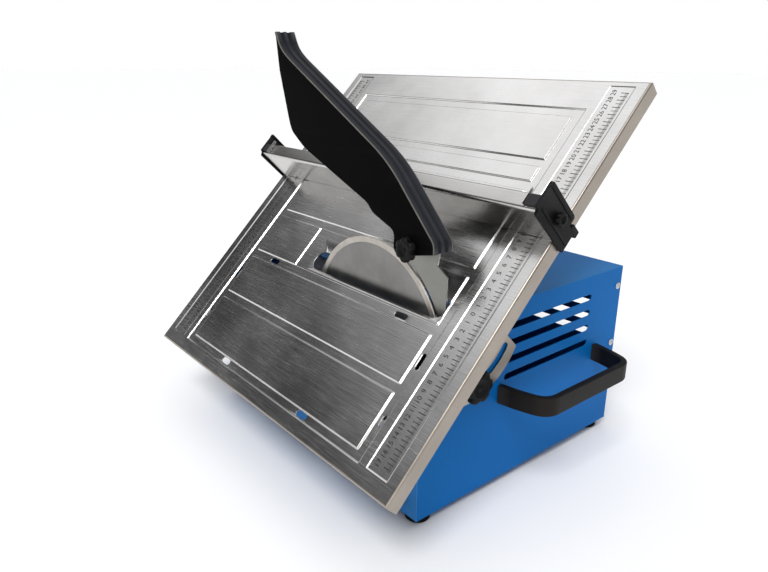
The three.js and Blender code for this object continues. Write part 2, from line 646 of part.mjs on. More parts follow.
function bladeGuard() {
  const toPlace = ([a, b]) => [PIVOT_Y + a, PIVOT_Z + b];
  const outside = outline([...GUARD_BACK, ...GUARD_OPEN].map(toPlace));
  roundHole(outside, PIVOT_Y, PIVOT_Z, BOLT_RADIUS + CLEARANCE);
  const back = inward(GUARD_BACK, GUARD_WALL);
  back[0][1] = -40;
  back[back.length - 1] = [260, 208];
  const inside = outline([...back, [270, 150], [250, 60], [80, -40]].map(toPlace));
  const hollow = plateYZ(inside, GUARD_LEFT + GUARD_WALL, GUARD_WIDTH - 2 * GUARD_WALL);
  return cut(plateYZ(outside, GUARD_LEFT, GUARD_WIDTH), hollow);
}

function onPivot(geometry) {
  return geometry.translate(0, PIVOT_Y, PIVOT_Z);
}

function guardSpacer() {
  const from = GUARD_LEFT + GUARD_WALL + CLEARANCE;
  return onPivot(ring(BOLT_RADIUS + CLEARANCE, SPACER_RADIUS, from, CORE_LEFT - CLEARANCE, 'x', 16));
}

// The bolt's own shoulder keeps the knife off the guard's right side.
function guardBolt() {
  const end = GUARD_RIGHT + CLEARANCE;
  return onPivot(join(
    disc(BOLT_RADIUS, GUARD_LEFT - GUARD_KNOB_LENGTH + GUARD_KNOB_CAP, end + 1, 'x', 16),
    disc(SPACER_RADIUS, CORE_RIGHT + CLEARANCE, GUARD_RIGHT - GUARD_WALL - CLEARANCE, 'x', 16),
    disc(GUARD_BOLT_HEAD[0], end, end + GUARD_BOLT_HEAD[1], 'x', 6),
  ));
}

function guardKnob() {
  const from = GUARD_LEFT - CLEARANCE - GUARD_KNOB_LENGTH;
  const body = plateYZ(lobedShape(GUARD_KNOB_RADIUS, 6, 1.8), from, GUARD_KNOB_LENGTH);
  return onPivot(cut(body, disc(BOLT_RADIUS + CLEARANCE, from + GUARD_KNOB_CAP, GUARD_LEFT + 1, 'x', 16)));
}

// ---------------------------------------------------------------- table and tilt brackets
const SLOT_SIDE = 7;             // blade to the slot's long edges
const SLOT_AHEAD = 20;
const SLOT_BEHIND = 5;
const BRACKET_LEFT = 72;
const BRACKET_RIGHT = 26;
const STIFFENER_LOW = 70;        // table's lower edge to the lower channel
const STIFFENER_HIGH = 22;       // table's upper edge to the upper channel
const BRACKET_GAP = 0.5;         // end panel to the bracket
const BRACKET_FLANGE = 14;
const PIVOT_HEAD = [7, 4.5];     // radius and height, outside the bracket
const TILT_NUT = [7, 5.5];       // radius and height, inside the panel
const STUD_REACH = 7;            // into the knob

function tableTop() {
  const low = -AXIS_TO_LOW_EDGE;
  const high = TABLE_LENGTH - AXIS_TO_LOW_EDGE;
  const rim = TABLE_SHEET;
  const bladeWhenTilted = BLADE_OFFSET / Math.cos(TABLE_TILT) + AXIS_TO_SURFACE * Math.tan(TABLE_TILT);
  const slotLeft = BLADE_OFFSET - SLOT_SIDE;
  const slotRight = bladeWhenTilted + SLOT_SIDE;
  const rise = BLADE_DROP + UNDER_TABLE;
  const slotFar = BLADE_Y + Math.sqrt(Math.max(BLADE_RADIUS ** 2 - rise ** 2, 0)) + SLOT_AHEAD;
  const slotNear = KNIFE_REAR - SLOT_BEHIND;
  const top = outline([[low, -HALF_WIDTH], [high, -HALF_WIDTH], [high, HALF_WIDTH], [low, HALF_WIDTH]]);
  const slotX = (slotLeft + slotRight) / 2;
  const slotY = (slotNear + slotFar) / 2;
  slotHole(top, slotX, slotY, slotFar - slotNear, slotRight - slotLeft, true);
  for (const side of [-1, 1]) {
    slotHole(top, slotLeft - 20, side * HALF_WIDTH * 0.52, 20, 7, true);
    slotHole(top, low + 22, side * HALF_WIDTH * 0.35, 20, 7, true);
    slotHole(top, low + 64, side * (HALF_WIDTH - 60), 14, 5);
    slotHole(top, low + 132, side * (HALF_WIDTH - 60), 20, 6);
  }
  const sheet = extrude(top, TABLE_SHEET).translate(0, 0, UNDER_TABLE);
  const edge = outline([[low, -HALF_WIDTH], [high, -HALF_WIDTH], [high, HALF_WIDTH], [low, HALF_WIDTH]]);
  const w = HALF_WIDTH - rim;
  edge.holes.push(outline([[low + rim, -w], [low + rim, w], [high - rim, w], [high - rim, -w]]));
  const depth = TABLE_FLANGE - TABLE_SHEET / 2;
  const flange = extrude(edge, depth).translate(0, 0, AXIS_TO_SURFACE - TABLE_FLANGE);
  return join(sheet, flange);
}

function stiffener(x) {
  const z = UNDER_TABLE - CLEARANCE;
  const profile = outline([
    [x - 12, z], [x - 12, z - 1.2], [x - 6.2, z - 1.2], [x - 5, z - 9], [x + 5, z - 9], [x + 6.2, z - 1.2],
    [x + 12, z - 1.2], [x + 12, z], [x + 5.2, z], [x + 4.2, z - 7.8], [x - 4.2, z - 7.8], [x - 5.2, z],
  ]);
  const half = HALF_WIDTH - TABLE_SHEET - 6;
  return plateXZ(profile, -half, 2 * half);
}

// The stud is at the slot's lower end with the table tilted and at its right end with the table flat.
function tiltBracket() {
  const slotFrom = STUD_ANGLE - TABLE_TILT;
  const slotTo = STUD_ANGLE;
  const half = BOLT_RADIUS + CLEARANCE + 0.2;
  const top = UNDER_TABLE - CLEARANCE;
  const shape = new THREE.Shape();
  const leftAngle = -Math.acos(BRACKET_LEFT / BRACKET_RADIUS);
  const rightAngle = -Math.acos(BRACKET_RIGHT / BRACKET_RADIUS);
  shape.moveTo(BRACKET_RIGHT, top);
  shape.lineTo(-BRACKET_LEFT, top);
  shape.absarc(0, 0, BRACKET_RADIUS, -Math.PI - leftAngle, rightAngle, false);
  roundHole(shape, 0, 0, BOLT_RADIUS + CLEARANCE);
  const slot = new THREE.Path();
  slot.absarc(0, 0, SLOT_RADIUS + half, slotFrom, slotTo, false);
  const endX = SLOT_RADIUS * Math.cos(slotTo);
  const endZ = SLOT_RADIUS * Math.sin(slotTo);
  slot.absarc(endX, endZ, half, slotTo, slotTo + Math.PI, false);
  slot.absarc(0, 0, SLOT_RADIUS - half, slotTo, slotFrom, true);
  slot.absarc(SLOT_RADIUS * Math.cos(slotFrom), SLOT_RADIUS * Math.sin(slotFrom), half,
    slotFrom + Math.PI, slotFrom + 2 * Math.PI, false);
  shape.holes.push(slot);
  const outer = -PANEL_OUT - BRACKET_GAP - BRACKET_SHEET;
  const plate = plateXZ(shape, outer, BRACKET_SHEET);
  const weld = box(-BRACKET_LEFT, BRACKET_RIGHT, outer - BRACKET_FLANGE, outer + 1, top - BRACKET_SHEET, top);
  return join(plate, weld);
}

function tiltPivot() {
  const outer = -PANEL_OUT - BRACKET_GAP - BRACKET_SHEET - CLEARANCE;
  const inner = -PANEL_IN + CLEARANCE;
  const steps = [PIVOT_HEAD, [BOLT_RADIUS, inner - outer], TILT_NUT];
  return steppedPin(steps, outer - PIVOT_HEAD[1], 'y', 20).translate(0, 0, AXIS_HEIGHT);
}

const KNOB_BACK = -PANEL_OUT - BRACKET_GAP - BRACKET_SHEET - CLEARANCE;

function tiltStud() {
  const inner = -PANEL_IN + CLEARANCE;
  const steps = [[BOLT_RADIUS, inner - KNOB_BACK + STUD_REACH], TILT_NUT];
  return steppedPin(steps, KNOB_BACK - STUD_REACH, 'y', 20).translate(STUD_X, 0, STUD_Z);
}

function tiltKnob() {
  const body = plateXZ(lobedShape(KNOB_RADIUS, 6, 2.2), KNOB_BACK - KNOB_LENGTH, KNOB_LENGTH);
  const bore = disc(BOLT_RADIUS + CLEARANCE, KNOB_BACK - STUD_REACH - CLEARANCE, KNOB_BACK + 1, 'y', 20);
  return cut(body, bore).translate(STUD_X, 0, STUD_Z);
}

// ---------------------------------------------------------------- fence
const CLAMP_WIDTH = 36;
const CLAMP_OVERHANG = 3;        // clamp ahead of the fence's face
const CLAMP_RISE = 4;            // above the fence's top
const CLAMP_HOOK = [20, 28, 6];  // hook under the table's rim: from, to and reach
const CLAMP_TONGUE = 14;         // tongue inside the fence's end
const CLAMP_TAB = [4, 16, 3];    // tab on the fence's top: from, to and thickness
const CLAMP_KNOB_RADIUS = 8;
const CLAMP_KNOB_LENGTH = 5;
const CLAMP_KNOB_HEIGHT = 17;    // table to the knob's middle

const fenceBottom = AXIS_TO_SURFACE + CLEARANCE;
const fenceTop = fenceBottom + FENCE_HEIGHT;

function fenceProfile() {
  const z0 = fenceBottom;
  const z1 = fenceTop;
  const t = FENCE_SHEET;
  const x0 = FENCE_X;
  const x1 = FENCE_X + FENCE_DEPTH;
  const profile = outline([
    [x0, z0], [x0 + t, z0], [x0 + t, z1 - t], [x1 - t, z1 - t], [x1 - t, z0], [x1, z0],
    [x1, z1], [x0, z1],
  ]);
  return plateXZ(profile, -HALF_WIDTH, TABLE_WIDTH);
}

function fenceClamp() {
  const rimBottom = AXIS_TO_SURFACE - TABLE_FLANGE - CLEARANCE;
  const inner = -HALF_WIDTH - CLEARANCE;
  const outer = inner - CLAMP_THICKNESS;
  const top = fenceTop + CLAMP_RISE;
  const side = outline([
    [outer, rimBottom + 1], [inner, rimBottom + 1], [inner, top], [outer + 2, top], [outer, top - 2],
  ]);
  const body = plateYZ(side, FENCE_X - CLAMP_OVERHANG, CLAMP_WIDTH);
  const [hookFrom, hookTo, hookReach] = CLAMP_HOOK;
  const hook = outline([
    [outer + 1, rimBottom + 9], [outer + 1, rimBottom - 5], [inner + hookReach, rimBottom - 5],
    [inner + hookReach, rimBottom], [inner, rimBottom], [inner, rimBottom + 9],
  ]);
  const wall = FENCE_SHEET + CLEARANCE;
  const tongue = box(FENCE_X + wall, FENCE_X + FENCE_DEPTH - wall, inner - 1, -HALF_WIDTH + CLAMP_TONGUE,
    fenceBottom + CLEARANCE, fenceTop - wall);
  const [tabFrom, tabTo, tabThickness] = CLAMP_TAB;
  const tab = box(FENCE_X + tabFrom, FENCE_X + tabTo, outer + 3, -HALF_WIDTH + CLAMP_TONGUE,
    fenceTop + CLEARANCE, fenceTop + CLEARANCE + tabThickness);
  return join(body, plateYZ(hook, FENCE_X + hookFrom, hookTo - hookFrom), tongue, tab);
}

function clampKnob() {
  const from = -HALF_WIDTH - 2 * CLEARANCE - CLAMP_THICKNESS;
  const body = plateXZ(lobedShape(CLAMP_KNOB_RADIUS, 6, 1.2), from - CLAMP_KNOB_LENGTH, CLAMP_KNOB_LENGTH);
  return body.translate(FENCE_X - CLAMP_OVERHANG + CLAMP_WIDTH / 2, 0, AXIS_TO_SURFACE + CLAMP_KNOB_HEIGHT);
}

// ---------------------------------------------------------------- switch box on the infeed panel
const SWITCH_X = 200;
const SWITCH_Z = 74;
const SWITCH_SIZE = [62, 38, 92];
const BUTTON_RADIUS = 11;
const BUTTON_TRAVEL = 3;
const BUTTON_DEPTH = 12;
const GLAND_X = 120;
const GLAND_Z = 50;
const GLAND_RADIUS = 9;

const switchOut = PANEL_OUT + CLEARANCE + SWITCH_SIZE[1];
const BUTTONS = [['start_button', SWITCH_Z + 20, greenPlastic], ['stop_button', SWITCH_Z - 18, redPlastic]];

function switchHousing() {
  const [w, , h] = SWITCH_SIZE;
  const body = box(SWITCH_X - w / 2, SWITCH_X + w / 2, PANEL_OUT + CLEARANCE, switchOut,
    SWITCH_Z - h / 2, SWITCH_Z + h / 2);
  const wellRadius = BUTTON_RADIUS + CLEARANCE;
  const wells = BUTTONS.map(([, z]) => disc(wellRadius, switchOut - BUTTON_DEPTH, switchOut + 1, 'y', 24)
    .translate(SWITCH_X, 0, z));
  return cut(body, ...wells);
}

function pushButton(z) {
  const back = switchOut - BUTTON_DEPTH + BUTTON_TRAVEL + 1;
  const cap = steppedPin([[BUTTON_RADIUS, BUTTON_DEPTH], [BUTTON_RADIUS - 1.5, 1.5]], back, 'y', 24);
  return cap.translate(SWITCH_X, 0, z);
}

function cableGland() {
  const out = PANEL_OUT + CLEARANCE;
  const inn = PANEL_IN - CLEARANCE;
  const body = turned([
    [5, inn - 6], [GLAND_RADIUS + 4, inn - 6], [GLAND_RADIUS + 4, inn],
    [GLAND_RADIUS, inn], [GLAND_RADIUS, out],
    [GLAND_RADIUS + 5, out], [GLAND_RADIUS + 5, out + 7], [GLAND_RADIUS, out + 16],
    [5, out + 16], [5, inn - 6],
  ], 'y', 20);
  return body.translate(GLAND_X, 0, GLAND_Z);
}

// ---------------------------------------------------------------- assembly
add('housing_shell', housingShell(), bluePaint);
add('outfeed_end_panel', endPanel(true), bluePaint);
add('infeed_end_panel', atEnd(endPanel(false), 1), bluePaint);
for (const [end, side] of ENDS) {
  screwPlaces.forEach((z, i) => {
    const name = `${end}_panel_screw_${i === 0 ? 'lower' : 'upper'}`;
    add(name, atEnd(housingScrew(HOUSING_RIGHT - SCREW_INSET, z), side), zincSteel);
  });
  for (const [where, x] of [['left', -HOUSING_LEFT + FOOT_INSET], ['right', HOUSING_RIGHT - FOOT_INSET]]) {
    add(`${end}_${where}_foot`, foot().translate(x, side * (PANEL_OUT - FOOT_INSET), 0), blackRubber);
  }
}
add('carry_handle', carryHandle(), blackPlastic);
handleBoltPlaces().forEach((x, i) => {
  add(`handle_bolt_${i === 0 ? 'left' : 'right'}`, handleBolt(x), zincSteel);
});
add('bulkhead', bulkhead(), zincSteel);
add('water_basin', waterBasin(), blackPlastic);
add('drain_plug', drainPlug(), blackRubber);

add('motor_housing', motorHousing(), castAlloy);
add('motor_front_cover', endCover(MOTOR_X), castAlloy);
add('motor_rear_cover', endCover(STATOR_END + CLEARANCE), castAlloy);
add('front_bearing', bearing(MOTOR_X), darkSteel);
add('rear_bearing', bearing(STATOR_END + CLEARANCE), darkSteel);
add('stator_core', stator(), copper);
add('fan_cover', fanCover(), blackPlastic);
add('capacitor', capacitor(), castAlloy);

add('motor_shaft', shaft(), zincSteel);
add('rotor', rotor(), darkSteel);
add('cooling_fan', coolingFan(), blackPlastic);
add('inner_blade_flange', innerFlange(), zincSteel);
add('diamond_blade', bladeDisc(), bladeSteel);
add('outer_blade_flange', outerFlange(), zincSteel);
add('blade_nut', bladeNut(), zincSteel);

add('riving_knife', rivingKnife(), stainless);
add('knife_mount', knifeMount(), castAlloy);
knifeBoltPlaces().forEach((z, i) => {
  add(`knife_bolt_${i === 0 ? 'lower' : 'upper'}`, knifeBolt(z), zincSteel);
});
add('blade_guard', bladeGuard(), blackPlastic);
add('guard_spacer', guardSpacer(), zincSteel);
add('guard_bolt', guardBolt(), zincSteel);
add('guard_knob', guardKnob(), blackPlastic);

add('table_top', tableTop(), stainless, tableGroup);
add('table_stiffener_low', stiffener(-AXIS_TO_LOW_EDGE + STIFFENER_LOW), zincSteel, tableGroup);
const highChannel = TABLE_LENGTH - AXIS_TO_LOW_EDGE - STIFFENER_HIGH;
add('table_stiffener_high', stiffener(highChannel), zincSteel, tableGroup);
for (const [end, side] of ENDS) {
  add(`${end}_tilt_bracket`, atEnd(tiltBracket(), side), stainless, tableGroup);
  add(`${end}_tilt_pivot`, atEnd(tiltPivot(), side), zincSteel);
  add(`${end}_tilt_stud`, atEnd(tiltStud(), side), zincSteel);
  add(`${end}_tilt_knob`, atEnd(tiltKnob(), side), blackPlastic);
  add(`${end}_fence_clamp`, atEnd(fenceClamp(), side), blackPlastic, tableGroup);
  add(`${end}_fence_knob`, atEnd(clampKnob(), side), blackPlastic, tableGroup);
}
add('fence_profile', fenceProfile(), stainless, tableGroup);

add('switch_housing', switchHousing(), blackPlastic);
BUTTONS.forEach(([name, z, look]) => add(name, pushButton(z), look));
add('cable_gland', cableGland(), blackPlastic);

// The origin is the middle of the bounding box, on the bench.
group.updateMatrixWorld(true);
const bounds = new THREE.Box3().setFromObject(group, true);
const middle = bounds.getCenter(new THREE.Vector3());
group.position.set(-middle.x, -middle.y, -bounds.min.z);

export default group;
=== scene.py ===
"""Looks for a bench saw for stone slabs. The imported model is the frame, and lengths are metres."""

import json
import math

import bmesh
import bpy
from mathutils import Matrix, Vector


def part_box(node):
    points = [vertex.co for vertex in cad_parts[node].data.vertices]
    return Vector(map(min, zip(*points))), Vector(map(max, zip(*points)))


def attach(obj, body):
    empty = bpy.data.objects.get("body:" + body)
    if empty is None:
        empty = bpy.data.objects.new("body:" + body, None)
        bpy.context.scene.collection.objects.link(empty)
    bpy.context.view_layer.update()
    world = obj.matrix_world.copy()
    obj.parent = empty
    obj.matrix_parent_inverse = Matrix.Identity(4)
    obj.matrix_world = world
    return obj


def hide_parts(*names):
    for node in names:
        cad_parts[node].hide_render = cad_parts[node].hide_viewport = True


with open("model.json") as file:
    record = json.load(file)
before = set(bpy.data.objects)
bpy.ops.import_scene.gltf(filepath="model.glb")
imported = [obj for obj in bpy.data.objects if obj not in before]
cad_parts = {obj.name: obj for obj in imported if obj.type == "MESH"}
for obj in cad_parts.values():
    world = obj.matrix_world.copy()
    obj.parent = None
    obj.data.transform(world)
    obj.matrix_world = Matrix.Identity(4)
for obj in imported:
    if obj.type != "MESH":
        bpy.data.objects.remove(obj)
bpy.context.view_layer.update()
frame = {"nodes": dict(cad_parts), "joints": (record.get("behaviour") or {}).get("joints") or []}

MM = 0.001
MERGE = 1e-6             # vertices closer than this are one
joints = {j["name"]: j for j in frame["joints"]}
AXIS = Vector(joints["table_tilt"]["pos_m"])
SPINDLE = Vector(joints["blade_spin"]["pos_m"])
UP_SLOPE = Vector(joints["fence_slide"]["axis"])
TILT = math.atan2(UP_SLOPE.z, UP_SLOPE.x)
ON_TABLE = Matrix.Translation(AXIS) @ Matrix.Rotation(-TILT, 4, "Y")
FLAT = Matrix()
ALONG_X = Matrix.Rotation(math.pi / 2, 4, "Y")
ALONG_Y = Matrix.Rotation(-math.pi / 2, 4, "X")
IN_XZ = Matrix.Rotation(math.pi / 2, 4, "X")
IN_YZ = Matrix(((0, 0, 1, 0), (1, 0, 0, 0), (0, 1, 0, 0), (0, 0, 0, 1)))
ENDS = (("outfeed", -1), ("infeed", 1))


def at(x, y, z):
    return Matrix.Translation((x, y, z))


def centred(node, turn):
    return Matrix.Translation(middle(node)) @ turn


def on_spindle(x):
    return at(x, SPINDLE.y, SPINDLE.z)


def added(name, data):
    """A new object in the scene that holds data."""
    obj = bpy.data.objects.new(name, data)
    bpy.context.collection.objects.link(obj)
    return obj


def evaluated(obj):
    """A new mesh of a curve, or of a mesh object as its modifiers leave it."""
    return bpy.data.meshes.new_from_object(obj.evaluated_get(bpy.context.evaluated_depsgraph_get()))


def box_of(node):
    """A node's lowest and highest corners."""
    return [Vector(c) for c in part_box(node)]


def middle(node):
    lo, hi = box_of(node)
    return (lo + hi) / 2


def local_box(node, place):
    """A node's lowest and highest corners in the axes of place."""
    back = place.inverted()
    corners = [back @ v.co for v in frame["nodes"][node].data.vertices]
    return [Vector([pick(c[i] for c in corners) for i in range(3)]) for pick in (min, max)]


# ---- materials
looks = {}


def node_of(tree, kind, **values):
    """A shader node, its settings and its sockets' values named in values."""
    node = tree.nodes.new("ShaderNode" + kind)
    for key, value in values.items():
        if hasattr(node, key):
            setattr(node, key, value)
        else:
            node.inputs[key.replace("_", " ")].default_value = value
    return node


def fed(tree, kind, source, socket=0, **values):
    """A node that takes source in one of its sockets."""
    node = node_of(tree, kind, **values)
    tree.links.new(source, node.inputs[socket])
    return node


def ramp(tree, source, stops):
    """A colour ramp over source, from (position, colour) stops."""
    node = fed(tree, "ValToRGB", source)
    points = node.color_ramp.elements
    points[0].position, points[1].position = stops[0][0], stops[-1][0]
    for position, _ in stops[1:-1]:
        points.new(position)
    for point, (_, colour) in zip(points, stops):
        point.color = (*colour, 1)
    return node.outputs["Color"]


def mixed_colour(tree, share, under, over, blend="MIX"):
    """Blends two colours. Each of them, and the share, is a socket or a value."""
    node = node_of(tree, "Mix", data_type="RGBA", blend_type=blend)
    for socket, value in zip((node.inputs[0], node.inputs[6], node.inputs[7]), (share, under, over)):
        if isinstance(value, bpy.types.NodeSocket):
            tree.links.new(value, socket)
        else:
            socket.default_value = value
    return node.outputs[2]


def surface(name, light, dark, metallic, rough, grain, stretch=(1, 1, 1), bump=0.1, blotch=12,
            wear=None, radial=False, shine=0.5, fine=0.0):
    """Adds a look whose colour drifts from light to dark in blotches, with a grain in gloss and height.

    rough is its lowest and highest roughness, grain its scale, stretch the grain's own axes,
    wear the colour of rubbed edges, shine the specular level, and radial turns the grain into rings
    about the X axis."""
    material = bpy.data.materials.new(name)
    material.use_nodes = True
    tree = material.node_tree
    shader = tree.nodes["Principled BSDF"]
    shader.inputs["Metallic"].default_value = metallic
    shader.inputs["Specular IOR Level"].default_value = shine
    link = tree.links.new
    place = where = node_of(tree, "TexCoord").outputs["Object"]
    if radial:
        flat = fed(tree, "VectorMath", place, operation="MULTIPLY")
        flat.inputs[1].default_value = (0, 1, 1)
        far = fed(tree, "VectorMath", flat.outputs[0], operation="LENGTH")
        where = fed(tree, "CombineXYZ", far.outputs["Value"]).outputs[0]
    stretched = fed(tree, "Mapping", where, "Vector", Scale=stretch)
    lines = fed(tree, "TexNoise", stretched.outputs[0], "Vector", Scale=grain, Detail=6.0, Roughness=0.6)
    cloud = fed(tree, "TexNoise", place, "Vector", Scale=blotch, Detail=4.0, Roughness=0.55)
    colour = ramp(tree, cloud.outputs["Fac"], ((0.32, dark), (0.68, light)))
    speck = ramp(tree, lines.outputs["Fac"], ((0.3, (0.72,) * 3), (0.7, (1.0,) * 3)))
    colour = mixed_colour(tree, 0.35, colour, speck, "MULTIPLY")
    if wear is not None:
        edge = node_of(tree, "NewGeometry")
        share = ramp(tree, edge.outputs["Pointiness"], ((0.53, (0.0,) * 3), (0.62, (0.55,) * 3)))
        colour = mixed_colour(tree, share, colour, (*wear, 1))
    link(colour, shader.inputs["Base Color"])
    half = fed(tree, "Math", lines.outputs["Fac"], operation="MULTIPLY")
    mixed = fed(tree, "Math", cloud.outputs["Fac"], operation="MULTIPLY_ADD")
    half.inputs[1].default_value = mixed.inputs[1].default_value = 0.5
    link(half.outputs[0], mixed.inputs[2])
    gloss = fed(tree, "MapRange", mixed.outputs[0], "Value", From_Min=0.3, From_Max=0.7,
                To_Min=rough[0], To_Max=rough[1])
    link(gloss.outputs["Result"], shader.inputs["Roughness"])
    relief = fed(tree, "Bump", lines.outputs["Fac"], "Height", Strength=bump, Distance=0.0006)
    if fine:
        peel = fed(tree, "TexNoise", place, "Vector", Scale=fine, Detail=2.0)
        first = relief.outputs["Normal"]
        relief = fed(tree, "Bump", peel.outputs["Fac"], "Height", Strength=bump * 0.6, Distance=0.0004)
        link(first, relief.inputs["Normal"])
    link(relief.outputs["Normal"], shader.inputs["Normal"])
    looks[name] = material


BRUSHED = (1.0, 0.03, 1.0)
surface("blue_paint", (0.003, 0.148, 0.47), (0.002, 0.128, 0.42), 0, (0.4, 0.52), 900, blotch=5,
        wear=(0.1, 0.33, 0.68), shine=0.07, fine=260)
surface("stainless", (0.83, 0.82, 0.81), (0.66, 0.65, 0.64), 1, (0.14, 0.32), 900, stretch=BRUSHED,
        blotch=9)
surface("fence_steel", (0.64, 0.63, 0.61), (0.5, 0.49, 0.475), 1, (0.14, 0.3), 900, stretch=BRUSHED,
        bump=0.08, blotch=8)
# The table's stainless steel made darker and warmer for its turned-down rim and the tilt brackets: this
# tint is a painted warm reflection of the surroundings, not a colour of the steel.
surface("rim_steel_painted_reflection", (0.43, 0.385, 0.335), (0.35, 0.315, 0.275), 1, (0.3, 0.44), 900, stretch=BRUSHED,
        blotch=14)
surface("knife_steel", (0.31, 0.31, 0.285), (0.245, 0.245, 0.23), 1, (0.36, 0.5), 700,
        stretch=(1.0, 1.0, 0.04), blotch=16)
surface("zinc_steel", (0.66, 0.67, 0.68), (0.5, 0.51, 0.53), 1, (0.3, 0.45), 500, bump=0.12, blotch=60)
surface("cast_alloy", (0.5, 0.51, 0.52), (0.38, 0.39, 0.4), 0.9, (0.45, 0.62), 650, bump=0.35, blotch=30)
surface("blade_steel", (0.3, 0.295, 0.285), (0.2, 0.197, 0.19), 1, (0.26, 0.42), 420, bump=0.16,
        blotch=18, radial=True)
surface("blade_rim", (0.62, 0.58, 0.53), (0.48, 0.45, 0.41), 0.85, (0.42, 0.6), 1500, bump=0.4, blotch=80)
surface("dark_steel", (0.2, 0.2, 0.21), (0.11, 0.11, 0.12), 0.9, (0.35, 0.5), 400, bump=0.15, blotch=40)
surface("black_plastic", (0.0045, 0.0045, 0.0048), (0.0025, 0.0025, 0.0027), 0, (0.34, 0.5), 1400,
        bump=0.2, blotch=20, wear=(0.045, 0.045, 0.05), shine=0.11)
surface("handle_black", (0.008, 0.0062, 0.0052), (0.0045, 0.0036, 0.003), 0, (0.38, 0.54), 1600,
        bump=0.25, blotch=26, wear=(0.05, 0.043, 0.037), shine=0.12)
surface("guard_black", (0.0022, 0.0022, 0.0025), (0.0012, 0.0012, 0.0014), 0, (0.5, 0.62), 1200,
        bump=0.15, blotch=15, wear=(0.05, 0.055, 0.06), shine=0.02)
surface("slate_plastic", (0.014, 0.016, 0.021), (0.007, 0.008, 0.011), 0, (0.36, 0.55), 1200, bump=0.2,
        blotch=30, wear=(0.12, 0.13, 0.15), shine=0.16)
surface("guard_edge", (0.16, 0.15, 0.125), (0.09, 0.085, 0.075), 0, (0.4, 0.55), 900, bump=0.15,
        blotch=40, shine=0.3)
surface("black_rubber", (0.008, 0.008, 0.008), (0.005, 0.005, 0.005), 0, (0.75, 0.9), 1100, bump=0.4,
        blotch=50, shine=0.15)
surface("green_plastic", (0.02, 0.3, 0.07), (0.015, 0.23, 0.05), 0, (0.25, 0.35), 900, bump=0.08,
        blotch=40, wear=(0.1, 0.5, 0.2), shine=0.3)
surface("red_plastic", (0.5, 0.02, 0.014), (0.4, 0.014, 0.01), 0, (0.25, 0.35), 900, bump=0.08, blotch=40,
        wear=(0.7, 0.14, 0.1), shine=0.3)
surface("copper", (0.62, 0.3, 0.14), (0.45, 0.2, 0.09), 1, (0.3, 0.45), 60, stretch=(0.1, 12, 12),
        bump=0.6, blotch=60)
surface("scale_ink", (0.03, 0.029, 0.027), (0.014, 0.014, 0.013), 0, (0.5, 0.7), 900, blotch=50,
        shine=0.1)


# ---- outlines
def arc(cx, cy, radius, start, end, steps=12):
    """Points along an arc, its angles in degrees."""
    turns = [math.radians(start + (end - start) * i / steps) for i in range(steps + 1)]
    return [(cx + radius * math.cos(t), cy + radius * math.sin(t)) for t in turns]


def circle(cx, cy, radius, steps=32):
    return arc(cx, cy, radius, 0, 360, steps)[:-1]


def oblong(cx, cy, length, width, upright=False, steps=10):
    """A slot with round ends, lying along the first axis unless it is upright."""
    reach, radius = (length - width) / 2, width / 2
    if upright:
        return arc(cx, cy + reach, radius, 0, 180, steps) + arc(cx, cy - reach, radius, 180, 360, steps)
    return arc(cx + reach, cy, radius, -90, 90, steps) + arc(cx - reach, cy, radius, 90, 270, steps)


def rectangle(x0, x1, y0, y1):
    return [(x0, y0), (x1, y0), (x1, y1), (x0, y1)]


def filleted(points, radius, closed=True, steps=5):
    """A polyline with its corners rounded."""
    rounded = []
    count = len(points)
    for i, point in enumerate(points):
        here = Vector(point)
        if not closed and i in (0, count - 1):
            rounded.append(tuple(here))
            continue
        before = Vector(points[i - 1]) - here
        after = Vector(points[(i + 1) % count]) - here
        reach = min(radius, before.length * 0.49, after.length * 0.49)
        a = here + before.normalized() * reach
        b = here + after.normalized() * reach
        for k in range(steps + 1):
            t = k / steps
            rounded.append(tuple(a * (1 - t) ** 2 + here * 2 * t * (1 - t) + b * t ** 2))
    return rounded


def offset(points, distance):
    """An open polyline moved sideways, to its left where distance is positive."""
    moved = []
    last = len(points) - 1
    for i, point in enumerate(points):
        back = Vector(point) - Vector(points[max(i - 1, 0)])
        ahead = Vector(points[min(i + 1, last)]) - Vector(point)
        way = (back.normalized() + ahead.normalized()).normalized()
        bend = way.dot(ahead.normalized() if ahead.length else back.normalized())
        side = Vector((-way.y, way.x)) * distance / max(bend, 0.4)
        moved.append((point[0] + side.x, point[1] + side.y))
    return moved


def ribbon(path, half):
    return offset(path, half) + offset(path, -half)[::-1]


def lobed(radius, lobes, depth, steps=96):
    """A round outline with shallow scallops."""
    points = []
    for i in range(steps):
        angle = 2 * math.pi * i / steps
        r = radius - depth * (0.5 - 0.5 * math.cos(lobes * angle)) ** 2
        points.append((r * math.cos(angle), r * math.sin(angle)))
    return points


def node_outline(node, axis, high):
    """The outline and the holes of a CAD node's outermost flat face along an axis."""
    bm = bmesh.new()
    bm.from_mesh(frame["nodes"][node].data)
    bmesh.ops.remove_doubles(bm, verts=bm.verts, dist=MERGE)
    reach = (max if high else min)(v.co[axis] for v in bm.verts)
    picked = {f for f in bm.faces if all(abs(v.co[axis] - reach) < 1e-5 for v in f.verts)}
    edges = [e for e in bm.edges if sum(f in picked for f in e.link_faces) == 1]
    after = {}
    for edge in edges:
        a, b = edge.verts
        after.setdefault(a, []).append(b)
        after.setdefault(b, []).append(a)
    loops = []
    left = set(after)
    while left:
        loop = [left.pop()]
        while True:
            onward = [v for v in after[loop[-1]] if v in left]
            if not onward:
                break
            loop.append(onward[0])
            left.discard(onward[0])
        loops.append(loop)
    keep = [i for i in range(3) if i != axis]
    flat = [[(v.co[keep[0]], v.co[keep[1]]) for v in loop] for loop in loops]
    bm.free()

    def span(points):
        return max(p[0] for p in points) - min(p[0] for p in points)

    flat.sort(key=span, reverse=True)
    return flat[0], flat[1:]


